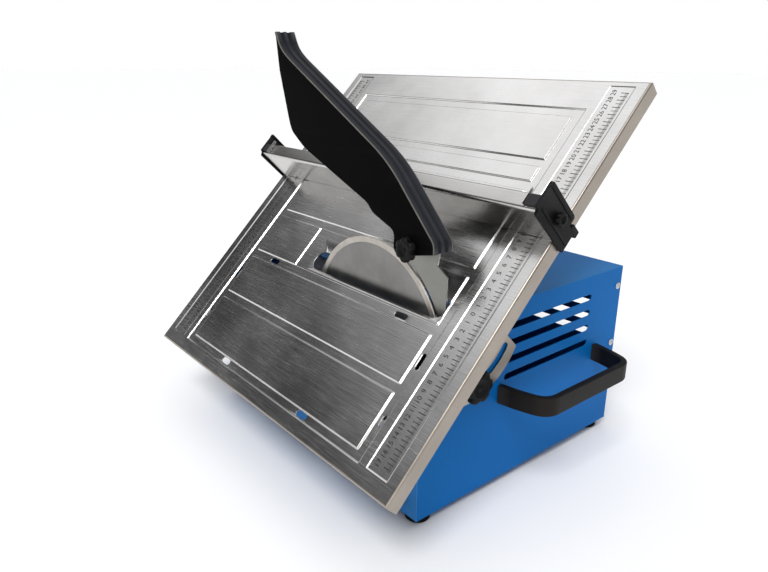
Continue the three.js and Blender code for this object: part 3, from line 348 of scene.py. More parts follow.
# ---- solids
def solid_of(curve):
    """The bmesh of a curve, which is then deleted."""
    carrier = added(curve.name, curve)
    mesh = evaluated(carrier)
    bm = bmesh.new()
    bm.from_mesh(mesh)
    bmesh.ops.remove_doubles(bm, verts=bm.verts, dist=MERGE)
    bpy.data.objects.remove(carrier)
    bpy.data.curves.remove(curve)
    bpy.data.meshes.remove(mesh)
    return bm


def plate(outline, holes=(), thickness=0.0015, edge=0.0004):
    """A flat plate about Z = 0 with rounded edges, as a bmesh."""
    curve = bpy.data.curves.new("plate", "CURVE")
    curve.dimensions = "2D"
    curve.fill_mode = "BOTH"
    curve.extrude = thickness / 2 - edge
    curve.bevel_depth = edge
    curve.bevel_resolution = 1
    curve.offset = -edge
    for points in (outline, *holes):
        spline = curve.splines.new("POLY")
        spline.points.add(len(points) - 1)
        for place, (x, y) in zip(spline.points, points):
            place.co = (x, y, 0, 1)
        spline.use_cyclic_u = True
    return solid_of(curve)


def stack(rings, cap=True):
    """A skin over rings of equally many points, closed by caps or else back onto its first ring."""
    bm = bmesh.new()
    made = [[bm.verts.new(p) for p in ring] for ring in rings]
    count = len(rings[0])
    rows = made if cap else made + made[:1]
    for low, high in zip(rows, rows[1:]):
        for i in range(count):
            j = (i + 1) % count
            bm.faces.new((low[i], low[j], high[j], high[i]))
    if cap:
        bm.faces.new(made[0][::-1])
        bm.faces.new(made[-1])
    return bm


def turned(profile, steps=48):
    """A solid turned about Z from (radius, height) points. It closes on the axis or on itself."""
    closed = profile[0] == profile[-1]
    bm = bmesh.new()
    rings = []
    for radius, z in profile[:-1] if closed else profile:
        if radius < 1e-7:
            rings.append([bm.verts.new((0, 0, z))])
            continue
        angles = [2 * math.pi * i / steps for i in range(steps)]
        rings.append([bm.verts.new((radius * math.cos(a), radius * math.sin(a), z)) for a in angles])
    if closed:
        rings.append(rings[0])
    for low, high in zip(rings, rings[1:]):
        for i in range(steps):
            j = (i + 1) % steps
            if len(low) == 1 and len(high) > 1:
                bm.faces.new((low[0], high[j], high[i]))
            elif len(high) == 1 and len(low) > 1:
                bm.faces.new((low[i], low[j], high[0]))
            elif len(low) > 1:
                bm.faces.new((low[i], low[j], high[j], high[i]))
    return bm


def soft(profile, radius, steps=3):
    """A turned profile with its corners rounded, its ends left on the axis."""
    return filleted(profile, radius, closed=False, steps=steps)


def rod(radius, start, end, steps):
    return turned([(0, start), (radius, start), (radius, end), (0, end)], steps)


def block(x0, x1, y0, y1, z0, z1, edge=0.0006):
    bm = plate(rectangle(x0, x1, y0, y1), (), z1 - z0, edge)
    bmesh.ops.translate(bm, verts=bm.verts, vec=(0, 0, (z0 + z1) / 2))
    return bm


def placed(bm, matrix):
    bmesh.ops.transform(bm, matrix=matrix, verts=bm.verts)
    return bm


def merged(*parts):
    """One bmesh that holds several closed ones."""
    whole = bmesh.new()
    for part in parts:
        mesh = bpy.data.meshes.new("part")
        part.to_mesh(mesh)
        part.free()
        whole.from_mesh(mesh)
        bpy.data.meshes.remove(mesh)
    return whole


def piece(name, bm, look, body, stands_for=(), place=FLAT, smooth=32):
    """Makes a shown piece from a bmesh, gives it its look and hangs it on its body."""
    bmesh.ops.recalc_face_normals(bm, faces=bm.faces)
    mesh = bpy.data.meshes.new(name)
    bm.to_mesh(mesh)
    bm.free()
    obj = added(name, mesh)
    obj.matrix_world = place
    mesh.materials.append(looks[look])
    for face in mesh.polygons:
        face.use_smooth = True
    mesh.set_sharp_from_angle(angle=math.radians(smooth))
    flatter = obj.modifiers.new("flat_faces", "WEIGHTED_NORMAL")
    flatter.keep_sharp = True
    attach(obj, body)
    if stands_for:
        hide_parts(*stands_for)
    return obj


def carve(obj, *cutters):
    """Cuts solids, given as bmeshes in the object's own axes, out of its mesh."""
    for cutter in cutters:
        bmesh.ops.recalc_face_normals(cutter, faces=cutter.faces)
        mesh = bpy.data.meshes.new("cutter")
        cutter.to_mesh(mesh)
        cutter.free()
        tool = added("cutter", mesh)
        tool.matrix_world = obj.matrix_world
        change = obj.modifiers.new("cut", "BOOLEAN")
        obj.modifiers.move(len(obj.modifiers) - 1, 0)
        obj.modifiers["flat_faces"].show_viewport = False
        change.object = tool
        change.operation = "DIFFERENCE"
        change.solver = "EXACT"
        bpy.context.view_layer.update()
        carved = evaluated(obj)
        obj.modifiers.remove(change)
        obj.modifiers["flat_faces"].show_viewport = True
        bpy.data.objects.remove(tool)
        bpy.data.meshes.remove(mesh)
        obj.data = carved


# CAD nodes that stay, with their look and the width of their bevel.
KEPT = (("housing_shell", "blue_paint", 0), ("bulkhead", "zinc_steel", 0.0004),
        ("water_basin", "black_plastic", 0.0008), ("fan_cover", "black_plastic", 0.0005),
        ("stator_core", "copper", 0.0005), ("rotor", "dark_steel", 0.0005),
        ("cooling_fan", "black_plastic", 0.0005), ("knife_mount", "cast_alloy", 0.0008),
        ("inner_blade_flange", "zinc_steel", 0.0004, 40), ("outer_blade_flange", "zinc_steel", 0.0004, 40),
        ("guard_spacer", "zinc_steel", 0.0003), ("table_stiffener_low", "zinc_steel", 0.0004),
        ("table_stiffener_high", "zinc_steel", 0.0004))


def keep(name, look, edge, smooth=32):
    obj = frame["nodes"][name]
    for held in obj.material_slots:
        held.material = looks[look]
    weld = obj.modifiers.new("weld", "WELD")
    weld.merge_threshold = MERGE
    if not edge:
        return
    bevel = obj.modifiers.new("edges", "BEVEL")
    bevel.width = edge
    bevel.segments = 2
    bevel.limit_method = "ANGLE"
    bevel.angle_limit = math.radians(smooth)
    bevel.harden_normals = True


# ---- camera, light and floor
CAMERA_FROM_AXIS = Vector((-0.4602, -0.6260, 0.2527))
CAMERA_WAY = Vector((0.6052, 0.7276, -0.3229))
CAMERA_ROLL = math.radians(0.39)
SENSOR, LENS = 36, 31.04         # millimetres
SUN_WAY = Vector((0.52, 0.3, -0.8))
SUN_ENERGY, SUN_ANGLE = 1.9, math.radians(24)
SOFTBOXES = (("key", (-1.5, -1.6, 2.2), (1.6, 1.6), 5), ("back", (0.4, 2.2, 2.6), (2.4, 1.4), 3))
SOFTBOX_AIM = Vector((0, 0, 0.2))
FLOOR_REACH = 30
# The sky's colour from straight down (0) to straight up (1): its dark band shows in the steel.
SKY = ((0.0, (1.0, 1.0, 1.0)), (0.17, (1.0, 1.0, 1.0)), (0.26, (0.07, 0.07, 0.072)),
       (0.5, (0.045, 0.045, 0.047)), (0.61, (0.3, 0.302, 0.308)), (0.74, (0.9, 0.905, 0.92)),
       (0.84, (1.05, 1.05, 1.06)), (1.0, (0.99, 1.0, 1.03)))


def facing(way):
    """The turn that points a camera or a lamp along way."""
    return way.to_track_quat("-Z", "Y").to_matrix().to_4x4()


def studio():
    camera = added("camera", bpy.data.cameras.new("camera"))
    turn = facing(CAMERA_WAY.normalized()) @ Matrix.Rotation(CAMERA_ROLL, 4, "Z")
    camera.matrix_world = Matrix.Translation(AXIS + CAMERA_FROM_AXIS) @ turn
    camera.data.sensor_width = SENSOR
    camera.data.lens = LENS
    camera.data.clip_start = 0.02
    scene = bpy.context.scene
    scene.camera = camera
    scene.view_settings.view_transform = "Standard"
    scene.world = world = bpy.data.worlds.new("studio")
    world.use_nodes = True
    tree = world.node_tree
    where = node_of(tree, "TexCoord").outputs["Generated"]
    apart = fed(tree, "SeparateXYZ", where)
    tree.links.new(ramp(tree, apart.outputs["Z"], SKY), tree.nodes["Background"].inputs["Color"])
    tree.nodes["Background"].inputs["Strength"].default_value = 1.0

    sun = added("sun", bpy.data.lights.new("sun", "SUN"))
    sun.data.energy = SUN_ENERGY
    sun.data.angle = SUN_ANGLE
    sun.matrix_world = facing(SUN_WAY)
    for name, place, size, power in SOFTBOXES:
        lamp = added(name, bpy.data.lights.new(name, "AREA"))
        lamp.data.shape = "RECTANGLE"
        lamp.data.size, lamp.data.size_y = size
        lamp.data.energy = power
        lamp.matrix_world = Matrix.Translation(place) @ facing(SOFTBOX_AIM - Vector(place))
    wide_floor()


def wide_floor():
    mesh = bpy.data.meshes.new("floor")
    edge = rectangle(-FLOOR_REACH, FLOOR_REACH, -FLOOR_REACH, FLOOR_REACH)
    mesh.from_pydata([(x, y, 0) for x, y in edge], [], [(0, 1, 2, 3)])
    pale = bpy.data.materials.new("pale_floor")
    pale.use_nodes = True
    shader = pale.node_tree.nodes["Principled BSDF"]
    shader.inputs["Base Color"].default_value = (0.93, 0.93, 0.93, 1)
    shader.inputs["Roughness"].default_value = 0.75
    mesh.materials.append(pale)
    return added("floor", mesh)


# ---- small hardware
def toward(axis_name, sign):
    """The matrix that stands a solid turned about Z along +X, -X, +Y or -Y."""
    turn = ALONG_X if axis_name == "x" else ALONG_Y
    return turn if sign > 0 else turn @ Matrix.Rotation(math.pi, 4, "X")


# Screws as the head's radius and height, then the shank's radius.
PANEL_SCREW = (0.0045, 0.0016, 0.0018)
KNIFE_BOLT = (0.005, 0.004, 0.0025)


def pan_head(radius, height, shank, length):
    """A pan head screw standing on Z = 0, its shank below."""
    return turned(soft([(0, -length), (shank, -length), (shank, 0), (radius, 0), (radius, height * 0.45),
                        (radius * 0.55, height), (0, height)], radius * 0.12), 32)


def cross_recess(radius, height):
    arm = radius * 0.42
    wide = radius * 0.12
    deep = height * 0.45
    return [block(-a, a, -b, b, height - deep, height + deep, 0.00005)
            for a, b in ((arm, wide), (wide, arm))]


def screws(axis_name, nodes, radius, height, shank):
    """Pan head screws in place of screw nodes whose heads look outward from the middle."""
    for name in nodes:
        lo, hi = box_of(name)
        axis = "xyz".index(axis_name)
        centre = (lo + hi) / 2
        sign = 1 if centre[axis] > 0 and axis_name == "y" else -1
        centre[axis] = (hi[axis] - height) if sign > 0 else (lo[axis] + height)
        screw = pan_head(radius, height, shank, hi[axis] - lo[axis] - height)
        screw = piece(name + "_head", screw, "zinc_steel", "root", (name,),
                      Matrix.Translation(centre) @ toward(axis_name, sign), 40)
        carve(screw, *cross_recess(radius, height))


def hexagon(radius):
    return arc(0, 0, radius, 30, 390, 6)[:-1]


def hex_head(radius, height):
    return plate(hexagon(radius), (), height, 0.0008)


# ---- housing
def end_panels():
    for end, side in ENDS:
        name = f"{end}_end_panel"
        lo, hi = box_of(name)
        outline, holes = node_outline(name, 1, side > 0)
        bm = plate(outline, holes, hi.y - lo.y, 0.0004)
        piece(name + "_sheet", bm, "blue_paint", "root", (name,), at(0, (lo.y + hi.y) / 2, 0) @ IN_XZ)


def housing():
    end_panels()
    names = [f"{end}_panel_screw_{which}" for end, _ in ENDS for which in ("lower", "upper")]
    screws("y", names, *PANEL_SCREW)
    for end, _ in ENDS:
        for where in ("left", "right"):
            name = f"{end}_{where}_foot"
            lo, hi = box_of(name)
            radius, height = (hi.x - lo.x) / 2, hi.z - lo.z
            waist = radius * 0.86
            profile = [(0, 0.0008), (radius * 0.4, 0.0008), (radius * 0.46, 0), (radius - 0.0012, 0),
                       (radius, 0.0014), (radius, 0.0032), (waist + 0.0006, 0.0042),
                       (waist, height - 0.001), (waist - 0.001, height), (0, height)]
            centre = middle(name)
            piece(name + "_rubber", turned(soft(profile, 0.0007), 56), "black_rubber", "root", (name,),
                  at(centre.x, centre.y, lo.z), 40)
    basin()
    handle()


def basin():
    lo, hi = box_of("drain_plug")
    spout = middle("drain_plug")
    cap = 0.004
    radius = (hi.z - lo.z) / 2
    stem = radius * 0.58
    tip = cap - (hi.x - lo.x)
    profile = [(0, tip), (radius * 0.5, tip), (stem, tip + 0.002), (stem, 0), (radius, 0),
               (radius, cap - 0.0008), (radius * 0.8, cap), (radius * 0.72, cap - 0.001), (0, cap - 0.001)]
    piece("drain_stopper", turned(soft(profile, 0.0006), 40), "black_rubber", "drain_plug_body",
          ("drain_plug",), at(lo.x + cap, spout.y, spout.z) @ toward("x", -1), 40)


def handle():
    lo, hi = box_of("carry_handle")
    strap = 0.008
    lean = 0.014
    root = 0.007
    left, right, bar = lo.x + root, hi.x - root, lo.y + strap / 2
    path = filleted([(left, hi.y - 0.0002), (left + lean * 0.3, bar + 0.03), (left + lean, bar),
                     (right - lean, bar), (right - lean * 0.3, bar + 0.03), (right, hi.y - 0.0002)],
                    0.022, closed=False, steps=8)
    bm = plate(ribbon(path, strap / 2), (), hi.z - lo.z, 0.0014)
    piece("handle_strap", bm, "handle_black", "root", ("carry_handle",), at(0, 0, (lo.z + hi.z) / 2))
    head, shank = 0.0035, 0.0025
    for name in ("handle_bolt_left", "handle_bolt_right"):
        lo, hi = box_of(name)
        half = (hi.y - lo.y) / 2
        top = placed(hex_head(0.0055, head), at(0, 0, half - head / 2))
        stem = rod(shank, -half, half - 0.003, 24)
        piece(name + "_hex", merged(top, stem), "zinc_steel", "root", (name,), centred(name, ALONG_Y))


# ---- motor
def motor():
    lo, hi = box_of("motor_housing")
    outer, valley, inner, fins = 0.052, 0.0492, 0.0478, 30
    fin = ((0, valley), (3.2, valley), (4.6, outer), (7.4, outer), (8.8, valley))   # degrees and radius
    ribs = []
    for i in range(fins):
        for turn, radius in fin:
            angle = math.radians(360 * i / fins + turn)
            ribs.append((radius * math.cos(angle), radius * math.sin(angle)))
    barrel = plate(ribs, (circle(0, 0, inner, 64),), hi.x - lo.x, 0.0003)
    barrel = placed(barrel, on_spindle((lo.x + hi.x) / 2) @ IN_YZ)
    half, inset = 0.005, 0.008
    feet = [block(lo.x + inset, hi.x - inset, y - half, y + half, lo.z, SPINDLE.z - 0.045, 0.001)
            for y in (SPINDLE.y - 0.026, SPINDLE.y + 0.026)]
    piece("motor_barrel", merged(barrel, *feet), "cast_alloy", "root", ("motor_housing",), smooth=25)
    seat = 0.0163
    for name, sign in (("motor_front_cover", -1), ("motor_rear_cover", 1)):
        lo, hi = box_of(name)
        long = hi.x - lo.x
        profile = [(seat, 0), (outer, 0), (outer, long * 0.7), (0.046, long), (0.024, long),
                   (0.022, long * 0.82), (seat, long * 0.82), (seat, 0)]
        piece(name + "_cast", turned(profile, 64), "cast_alloy", "root", (name,),
              on_spindle(lo.x if sign > 0 else hi.x) @ toward("x", sign), 40)
    bore, inner_race, outer_race, radius = 0.0063, 0.009, 0.0135, 0.016
    for name in ("front_bearing", "rear_bearing"):
        lo, hi = box_of(name)
        half = (hi.x - lo.x) / 2
        shield = half - 0.001
        profile = [(bore, -half), (inner_race, -half), (inner_race + 0.0005, -shield),
                   (outer_race - 0.0005, -shield), (outer_race, -half), (radius, -half), (radius, half),
                   (outer_race, half), (outer_race - 0.0005, shield), (inner_race + 0.0005, shield),
                   (inner_race, half), (bore, half), (bore, -half)]
        races = turned(profile, 48)
        piece(name + "_races", races, "dark_steel", "root", (name,), centred(name, ALONG_X), 30)
    lo, hi = box_of("capacitor")
    radius, long = (hi.z - lo.z) / 2, hi.x - lo.x
    neck = radius * 0.92
    profile = [(0, 0), (radius, 0), (radius, long * 0.9), (neck, long * 0.94), (neck, long), (0, long)]
    centre = middle("capacitor")
    piece("capacitor_can", turned(soft(profile, 0.0015), 48), "cast_alloy", "root", ("capacitor",),
          at(lo.x, centre.y, centre.z) @ ALONG_X, 30)


# ---- blade
BLADE_BORE = 0.0127
RIM_HEIGHT = 0.007
NUT_RADIUS, NUT_BORE = 0.011, 0.0062
ARBOR_RADIUS, CHAMFER = 0.006, 0.0008


def blade():
    lo, hi = box_of("diamond_blade")
    radius = (hi.z - lo.z) / 2
    rim = (hi.x - lo.x) / 2
    core = rim * 0.75
    start = radius - RIM_HEIGHT
    body = turned([(BLADE_BORE, -core), (start - 0.0009, -core), (start + 0.0002, -rim * 0.9),
                   (start + 0.0002, rim * 0.9), (start - 0.0009, core), (BLADE_BORE, core),
                   (BLADE_BORE, -core)], 160)
    edge = turned([(start, -rim), (radius - 0.0006, -rim), (radius, -rim * 0.5), (radius, rim * 0.5),
                   (radius - 0.0006, rim), (start, rim), (start, -rim)], 160)
    place = on_spindle(middle("diamond_blade").x)
    piece("blade_core", placed(body, ALONG_X), "blade_steel", "spindle", ("diamond_blade",), place, 30)
    piece("blade_rim", placed(edge, ALONG_X), "blade_rim", "spindle", ("diamond_blade",), place, 30)
    lo, hi = box_of("blade_nut")
    nut = plate(hexagon(NUT_RADIUS), (circle(0, 0, NUT_BORE, 24),), hi.x - lo.x, 0.0007)
    piece("blade_lock_nut", nut, "zinc_steel", "spindle", ("blade_nut",), centred("blade_nut", IN_YZ), 40)
    lo, hi = box_of("motor_shaft")
    long = hi.x - lo.x
    profile = [(0, 0), (ARBOR_RADIUS - CHAMFER, 0), (ARBOR_RADIUS, CHAMFER), (ARBOR_RADIUS, long - CHAMFER),
               (ARBOR_RADIUS - CHAMFER, long), (0, long)]
    arbor = turned(profile, 40)
    piece("arbor", arbor, "zinc_steel", "spindle", ("motor_shaft",), on_spindle(lo.x) @ ALONG_X, 30)


# ---- riving knife and guard
def knife():
    lo, hi = box_of("riving_knife")
    outline, holes = node_outline("riving_knife", 0, False)
    bm = plate(outline, holes, hi.x - lo.x, 0.0004)
    piece("knife_sheet", bm, "knife_steel", "root", ("riving_knife",), at((lo.x + hi.x) / 2, 0, 0) @ IN_YZ)
    screws("x", ["knife_bolt_lower", "knife_bolt_upper"], *KNIFE_BOLT)


# The guard's outline as distances from its pivot along the cut and upward: its back, then its mouth.
GUARD_BACK = ((-0.036, 0.001), (-0.036, 0.012), (0.026, 0.076), (0.05, 0.094), (0.223, 0.187),
              (0.238, 0.198), (0.247, 0.216))
GUARD_MOUTH = ((0.242, 0.173), (0.224, 0.114), (0.219, 0.102), (0.192, 0.084), (0.07, 0.037),
               (0.062, 0.028), (0.024, 0.014), (0.026, -0.004), (0.02, -0.012))
GUARD_WALL = 0.0025
GUARD_INSET = 0.0008     # the cheeks stop this far below the back
GROOVE = 0.0016
SPINE = 0.0028           # thickness of the back


def guard():
    lo, hi = box_of("blade_guard")
    pivot = Vector(joints["guard_tilt"]["pos_m"])
    middle_x = (lo.x + hi.x) / 2
    half = (hi.x - lo.x) / 2
    back, mouth = ([(pivot.y + a, pivot.z + b) for a, b in points] for points in (GUARD_BACK, GUARD_MOUTH))
    path = filleted(back, 0.03, closed=False, steps=6)
    below = filleted([path[-1], *mouth, path[0]], 0.008, closed=False, steps=5)
    cheek = offset(path, -GUARD_INSET) + below[1:-1]
    hole = circle(pivot.y, pivot.z, 0.0042)
    cheeks = [placed(plate(cheek, (hole,), GUARD_WALL, 0.0006),
                     at(middle_x + side * (half - GUARD_WALL / 2), 0, 0) @ IN_YZ) for side in (-1, 1)]
    piece("guard_cheeks", merged(*cheeks), "guard_black", "guard", ("blade_guard",))

    def along_back(section):
        levels = [[(middle_x + across, y, z) for y, z in offset(path, out)] for across, out in section]
        return stack([list(ring) for ring in zip(*levels)])

    side_of_spine = ((0.0004, -SPINE), (0.0004, -0.0002), (0.0018, 0.0), (0.0062, 0.0), (0.0074, -GROOVE),
                     (0.0105, -GROOVE), (0.0117, 0.0))
    ridges = [(a - half, b) for a, b in side_of_spine] + [(half - a, b) for a, b in side_of_spine[::-1]]
    piece("guard_spine", along_back(ridges), "slate_plastic", "guard", ("blade_guard",), smooth=28)
    for side, name in ((-1, "left"), (1, "right")):
        bead = [(side * (half - a), b) for a, b in ((0.0, -0.0009), (0.0002, -0.0001), (0.0009, 0.0001),
                                                    (0.0014, -0.0004), (0.0012, -0.0012))]
        piece(f"guard_bead_{name}", along_back(bead), "guard_edge", "guard", ("blade_guard",), smooth=60)
    lo, hi = box_of("guard_bolt")
    centre = middle("guard_bolt")
    height, shank = 0.005, 0.004
    head = placed(hex_head(0.007, height), at(hi.x - height / 2, centre.y, centre.z) @ IN_YZ)
    stem = placed(rod(shank, 0, hi.x - lo.x - 0.004, 32), at(lo.x, centre.y, centre.z) @ ALONG_X)
    piece("guard_hinge_bolt", merged(head, stem), "zinc_steel", "root", ("guard_bolt",))
    knob("guard_knob", "x", -1, 6, 0.0022)


def knob(node, axis_name, sign, lobes, scallop):
    """A scalloped hand knob with a dished face, in place of a knob node that looks along sign."""
    lo, hi = box_of(node)
    axis = "xyz".index(axis_name)
    centre = (lo + hi) / 2
    length = hi[axis] - lo[axis]
    radius = max(hi[i] - lo[i] for i in range(3) if i != axis) / 2
    centre[axis] = lo[axis] if sign > 0 else hi[axis]
    # Each level has a height, a share of the radius and a share of the scallops' depth.
    levels = [(0.0, 0.80, 0.2), (0.0006, 0.86, 0.5), (length * 0.2, 0.93, 0.9), (length * 0.3, 1.0, 1.0),
              (length * 0.78, 0.985, 1.0), (length * 0.9, 0.95, 0.95), (length * 0.975, 0.86, 0.8),
              (length, 0.74, 0.5), (length, 0.56, 0.1), (length - 0.0006, 0.5, 0.0),
              (length - 0.0018, 0.3, 0.0), (length - 0.0018, 0.16, 0.0), (length - 0.001, 0.1, 0.0),
              (length - 0.0008, 0.03, 0.0)]
    rings = [[(x * share, y * share, z) for x, y in lobed(radius, lobes, scallop * cut)]
             for z, share, cut in levels]
    piece(node + "_grip", stack(rings), "black_plastic", node + "_body", (node,),
          Matrix.Translation(centre) @ toward(axis_name, sign), 40)


# ---- table
SHEET = 0.0015
BEND = 0.0025
STEP = 0.0008          # half the width of a pressed step
CHANNEL = 0.0014       # depth of the drain channels
RULER = 0.0007         # depth of the ruler's strips
EDGE_STRIP = (0.015, 0.045)
STRIP_ENDS = (0.019, 0.008)
SIDE_CHANNEL = (0.057, 0.068)
CROSS_CHANNELS = ((0.018, 0.028), (0.0925, 0.1035), (0.162, 0.174), (0.234, 0.245), (0.349, 0.361),
                  (0.381, 0.391), (0.452, 0.463))
BLADE_PANEL = (0.1725, 0.2355, 0.0695, 0.335, 0.0011)
# Slots as a centre up the slope and along the cut, a length, a width and whether it lies along the cut.
BLADE_SLOT = (0.1924, 0.1873, 0.2385, 0.0268, True)
DRAIN_SLOTS = ((0.168, 0.120, 0.020, 0.007, True), (0.023, 0.163, 0.019, 0.0072, True),
               (0.0635, 0.0607, 0.013, 0.0045, False), (0.1325, 0.0610, 0.019, 0.0058, False))
# Each kind of mark has a pitch in millimetres, a length and half a width.
MARKS = ((10, 0.0095, 0.0004), (5, 0.008, 0.00034), (1, 0.004, 0.00013))
MARKS_FROM_EDGE = 0.0185
FIGURES_FROM_EDGE = 0.0362
FIGURE_SIZE = 0.0084
INK = 0.00004            # the ink stands this high


def pressed_features(length, width):
    """Rectangles pressed into the table: ends up the slope, ends along the cut, then depth."""
    first, last = CROSS_CHANNELS[0][0], CROSS_CHANNELS[-1][1]
    features = []
    for low, high, x0, x1, depth in ((*EDGE_STRIP, STRIP_ENDS[0], length - STRIP_ENDS[1], RULER),
                                     (*SIDE_CHANNEL, first, last, CHANNEL)):
        features += [(x0, x1, low, high, depth), (x0, x1, width - high, width - low, depth)]
    for low, high in CROSS_CHANNELS:
        features.append((low, high, SIDE_CHANNEL[0], width - SIDE_CHANNEL[0], CHANNEL))
    return features + [BLADE_PANEL]


def grid_lines(edges, low, high, spacing=0.02):
    """Where the sheet's grid is cut: across each pressed step, and at most about spacing apart."""
    lines = {round(low, 6), round(high, 6)}
    for edge in edges:
        for share in (-1.4, -1, -0.45, 0.45, 1, 1.4):
            if low < edge + STEP * share < high:
                lines.add(round(edge + STEP * share, 6))
    steps = int((high - low) / spacing)
    for i in range(1, steps):
        place = low + (high - low) * i / steps
        if min(abs(place - line) for line in lines) > spacing * 0.4:
            lines.add(round(place, 6))
    return sorted(lines)


def depth_at(features, x, y):
    depth = 0.0
    for x0, x1, y0, y1, full in features:
        inside = min(x - x0, x1 - x, y - y0, y1 - y)
        share = min(max((inside + STEP) / (2 * STEP), 0.0), 1.0)
        depth = max(depth, full * share * share * (3 - 2 * share))
    return depth


def pressed_sheet(lo, hi):
    length, width = hi.x - lo.x, hi.y - lo.y
    features = pressed_features(length, width)
    xs = grid_lines([e for f in features for e in f[:2]], BEND, length - BEND)
    ys = grid_lines([e for f in features for e in f[2:4]], BEND, width - BEND)
    bm = bmesh.new()
    layers = []
    for drop in (0.0, SHEET):
        layers.append([[bm.verts.new((lo.x + x, lo.y + y, hi.z - drop - depth_at(features, x, y)))
                        for y in ys] for x in xs])
    top, under = layers
    nx, ny = len(xs) - 1, len(ys) - 1
    for i in range(nx):
        for j in range(ny):
            bm.faces.new((top[i][j], top[i + 1][j], top[i + 1][j + 1], top[i][j + 1]))
            bm.faces.new((under[i][j], under[i][j + 1], under[i + 1][j + 1], under[i + 1][j]))
    for i in range(nx):
        for j in (0, ny):
            bm.faces.new((top[i][j], under[i][j], under[i + 1][j], top[i + 1][j]))
    for j in range(ny):
        for i in (0, nx):
            bm.faces.new((top[i][j], top[i][j + 1], under[i][j + 1], under[i][j]))
    return bm


def rim(lo, hi):
    """The turned-down edge of the table, mitred at its corners."""
    drop = hi.z - lo.z
    section = [(BEND, 0.0)]
    section += [(BEND - BEND * math.sin(a), BEND * math.cos(a) - BEND)
                for a in (math.radians(t) for t in (18, 36, 54, 72, 90))]
    section += [(0.0, -drop + 0.0004), (0.0004, -drop), (SHEET - 0.0004, -drop), (SHEET, -drop + 0.0004),
                (SHEET, -BEND), (SHEET * 1.2, -SHEET * 1.2), (BEND, -SHEET)]
    rings = []
    for inward, z in section:
        rings.append([(lo.x + inward, lo.y + inward, hi.z + z), (hi.x - inward, lo.y + inward, hi.z + z),
                      (hi.x - inward, hi.y - inward, hi.z + z), (lo.x + inward, hi.y - inward, hi.z + z)])
    return stack(rings, cap=False)


def table_slots(lo, hi):
    """Cutters for the blade slot and for the drain slots, which are mirrored along the cut."""
    width = hi.y - lo.y
    mirrored = [(x, width - y, *rest) for x, y, *rest in DRAIN_SLOTS]
    cutters = []
    for x, y, long, wide, upright in (BLADE_SLOT, *DRAIN_SLOTS, *mirrored):
        outline = oblong(lo.x + x, lo.y + y, long, wide, upright)
        cutters.append(placed(plate(outline, (), 0.012, 0.0002), at(0, 0, hi.z - 0.004)))
    return merged(*cutters)


def words(text, size):
    """Figures as a thin mesh about the origin."""
    curve = bpy.data.curves.new("figures", "FONT")
    curve.body = text
    curve.size = size
    curve.align_x = "CENTER"
    curve.align_y = "CENTER"
    curve.extrude = INK
    curve.resolution_u = 2
    return solid_of(curve)


def ruler(end, side, lo, hi):
    """Marks each millimetre along one edge of the table, with figures each ten, from the blade outward."""
    ground = hi.z - RULER + 0.00003
    zero = lo.x + 0.1985
    bm = bmesh.new()
    figures = []
    edge = lo.y if side < 0 else hi.y
    y0 = edge - side * MARKS_FROM_EDGE
    turn = FLAT if side < 0 else Matrix.Rotation(math.pi, 4, "Z")
    for n in range(math.ceil((lo.x + 0.026 - zero) / MM), math.floor((hi.x - 0.016 - zero) / MM) + 1):
        reach, half = next((reach, half) for pitch, reach, half in MARKS if n % pitch == 0)
        y1 = y0 - side * reach
        x = zero + n * MM
        corners = [(x - half, y0), (x + half, y0), (x + half, y1), (x - half, y1)]
        low = [bm.verts.new((a, b, ground - 0.0001)) for a, b in corners]
        top = [bm.verts.new((a, b, ground + INK)) for a, b in corners]
        bm.faces.new(top)
        bm.faces.new(low[::-1])
        for i in range(4):
            j = (i + 1) % 4
            bm.faces.new((low[i], low[j], top[j], top[i]))
        if n % 10 == 0:
            place = at(x, edge - side * FIGURES_FROM_EDGE, ground)
            figures.append(placed(words(str(abs(n) // 10), FIGURE_SIZE), place @ turn))
    piece(f"{end}_scale", merged(bm, *figures), "scale_ink", "table", (), ON_TABLE)


def table():
    lo, hi = local_box("table_top", ON_TABLE)
    sheet = piece("table_sheet", pressed_sheet(lo, hi), "stainless", "table", ("table_top",), ON_TABLE, 50)
    carve(sheet, table_slots(lo, hi))
    # The rim's colour holds a painted warm reflection.
    piece("table_rim", rim(lo, hi), "rim_steel_painted_reflection", "table", ("table_top",), ON_TABLE, 30)
    for end, side in ENDS:
        ruler(end, side, lo, hi)


# ---- tilt brackets
BRACKET_SHEET = 0.002
SLOT_HALF = 0.0045
RIVET_INSET = 0.016


def tilt_hardware():
    radius, shank = 0.0075, 0.004
    inside, outside = 0.0055, 0.0045
    for end, side in ENDS:
        bracket(end, side)
        for name in (f"{end}_tilt_pivot", f"{end}_tilt_stud"):
            lo, hi = box_of(name)
            half = (hi.y - lo.y) / 2
            end_z, neck = half - 0.0006, shank - 0.0006
            stem = turned([(0, -end_z), (neck, -end_z), (shank, 0.0012 - half), (shank, half - 0.0012),
                           (neck, end_z), (0, end_z)], 32)
            parts = [placed(hex_head(radius, inside), at(0, 0, -side * (half - inside / 2))), stem]
            if "pivot" in name:
                parts.append(placed(hex_head(radius, outside), at(0, 0, side * (half - outside / 2))))
            piece(name + "_bolt", merged(*parts), "zinc_steel", "root", (name,),
                  centred(name, ALONG_Y))
        knob(f"{end}_tilt_knob", "y", side, 6, 0.003)


def arc_slot(reach, start, stop):
    """The outline of a slot that runs on an arc about the tilt axis, its angles in degrees."""
    ends = [(reach * math.cos(math.radians(t)), reach * math.sin(math.radians(t))) for t in (start, stop)]
    return [*arc(0, 0, reach + SLOT_HALF, start, stop, 20),
            *arc(*ends[1], SLOT_HALF, stop, stop + 180, 8),
            *arc(0, 0, reach - SLOT_HALF, stop, start, 20),
            *arc(*ends[0], SLOT_HALF, start + 180, start + 360, 8)]


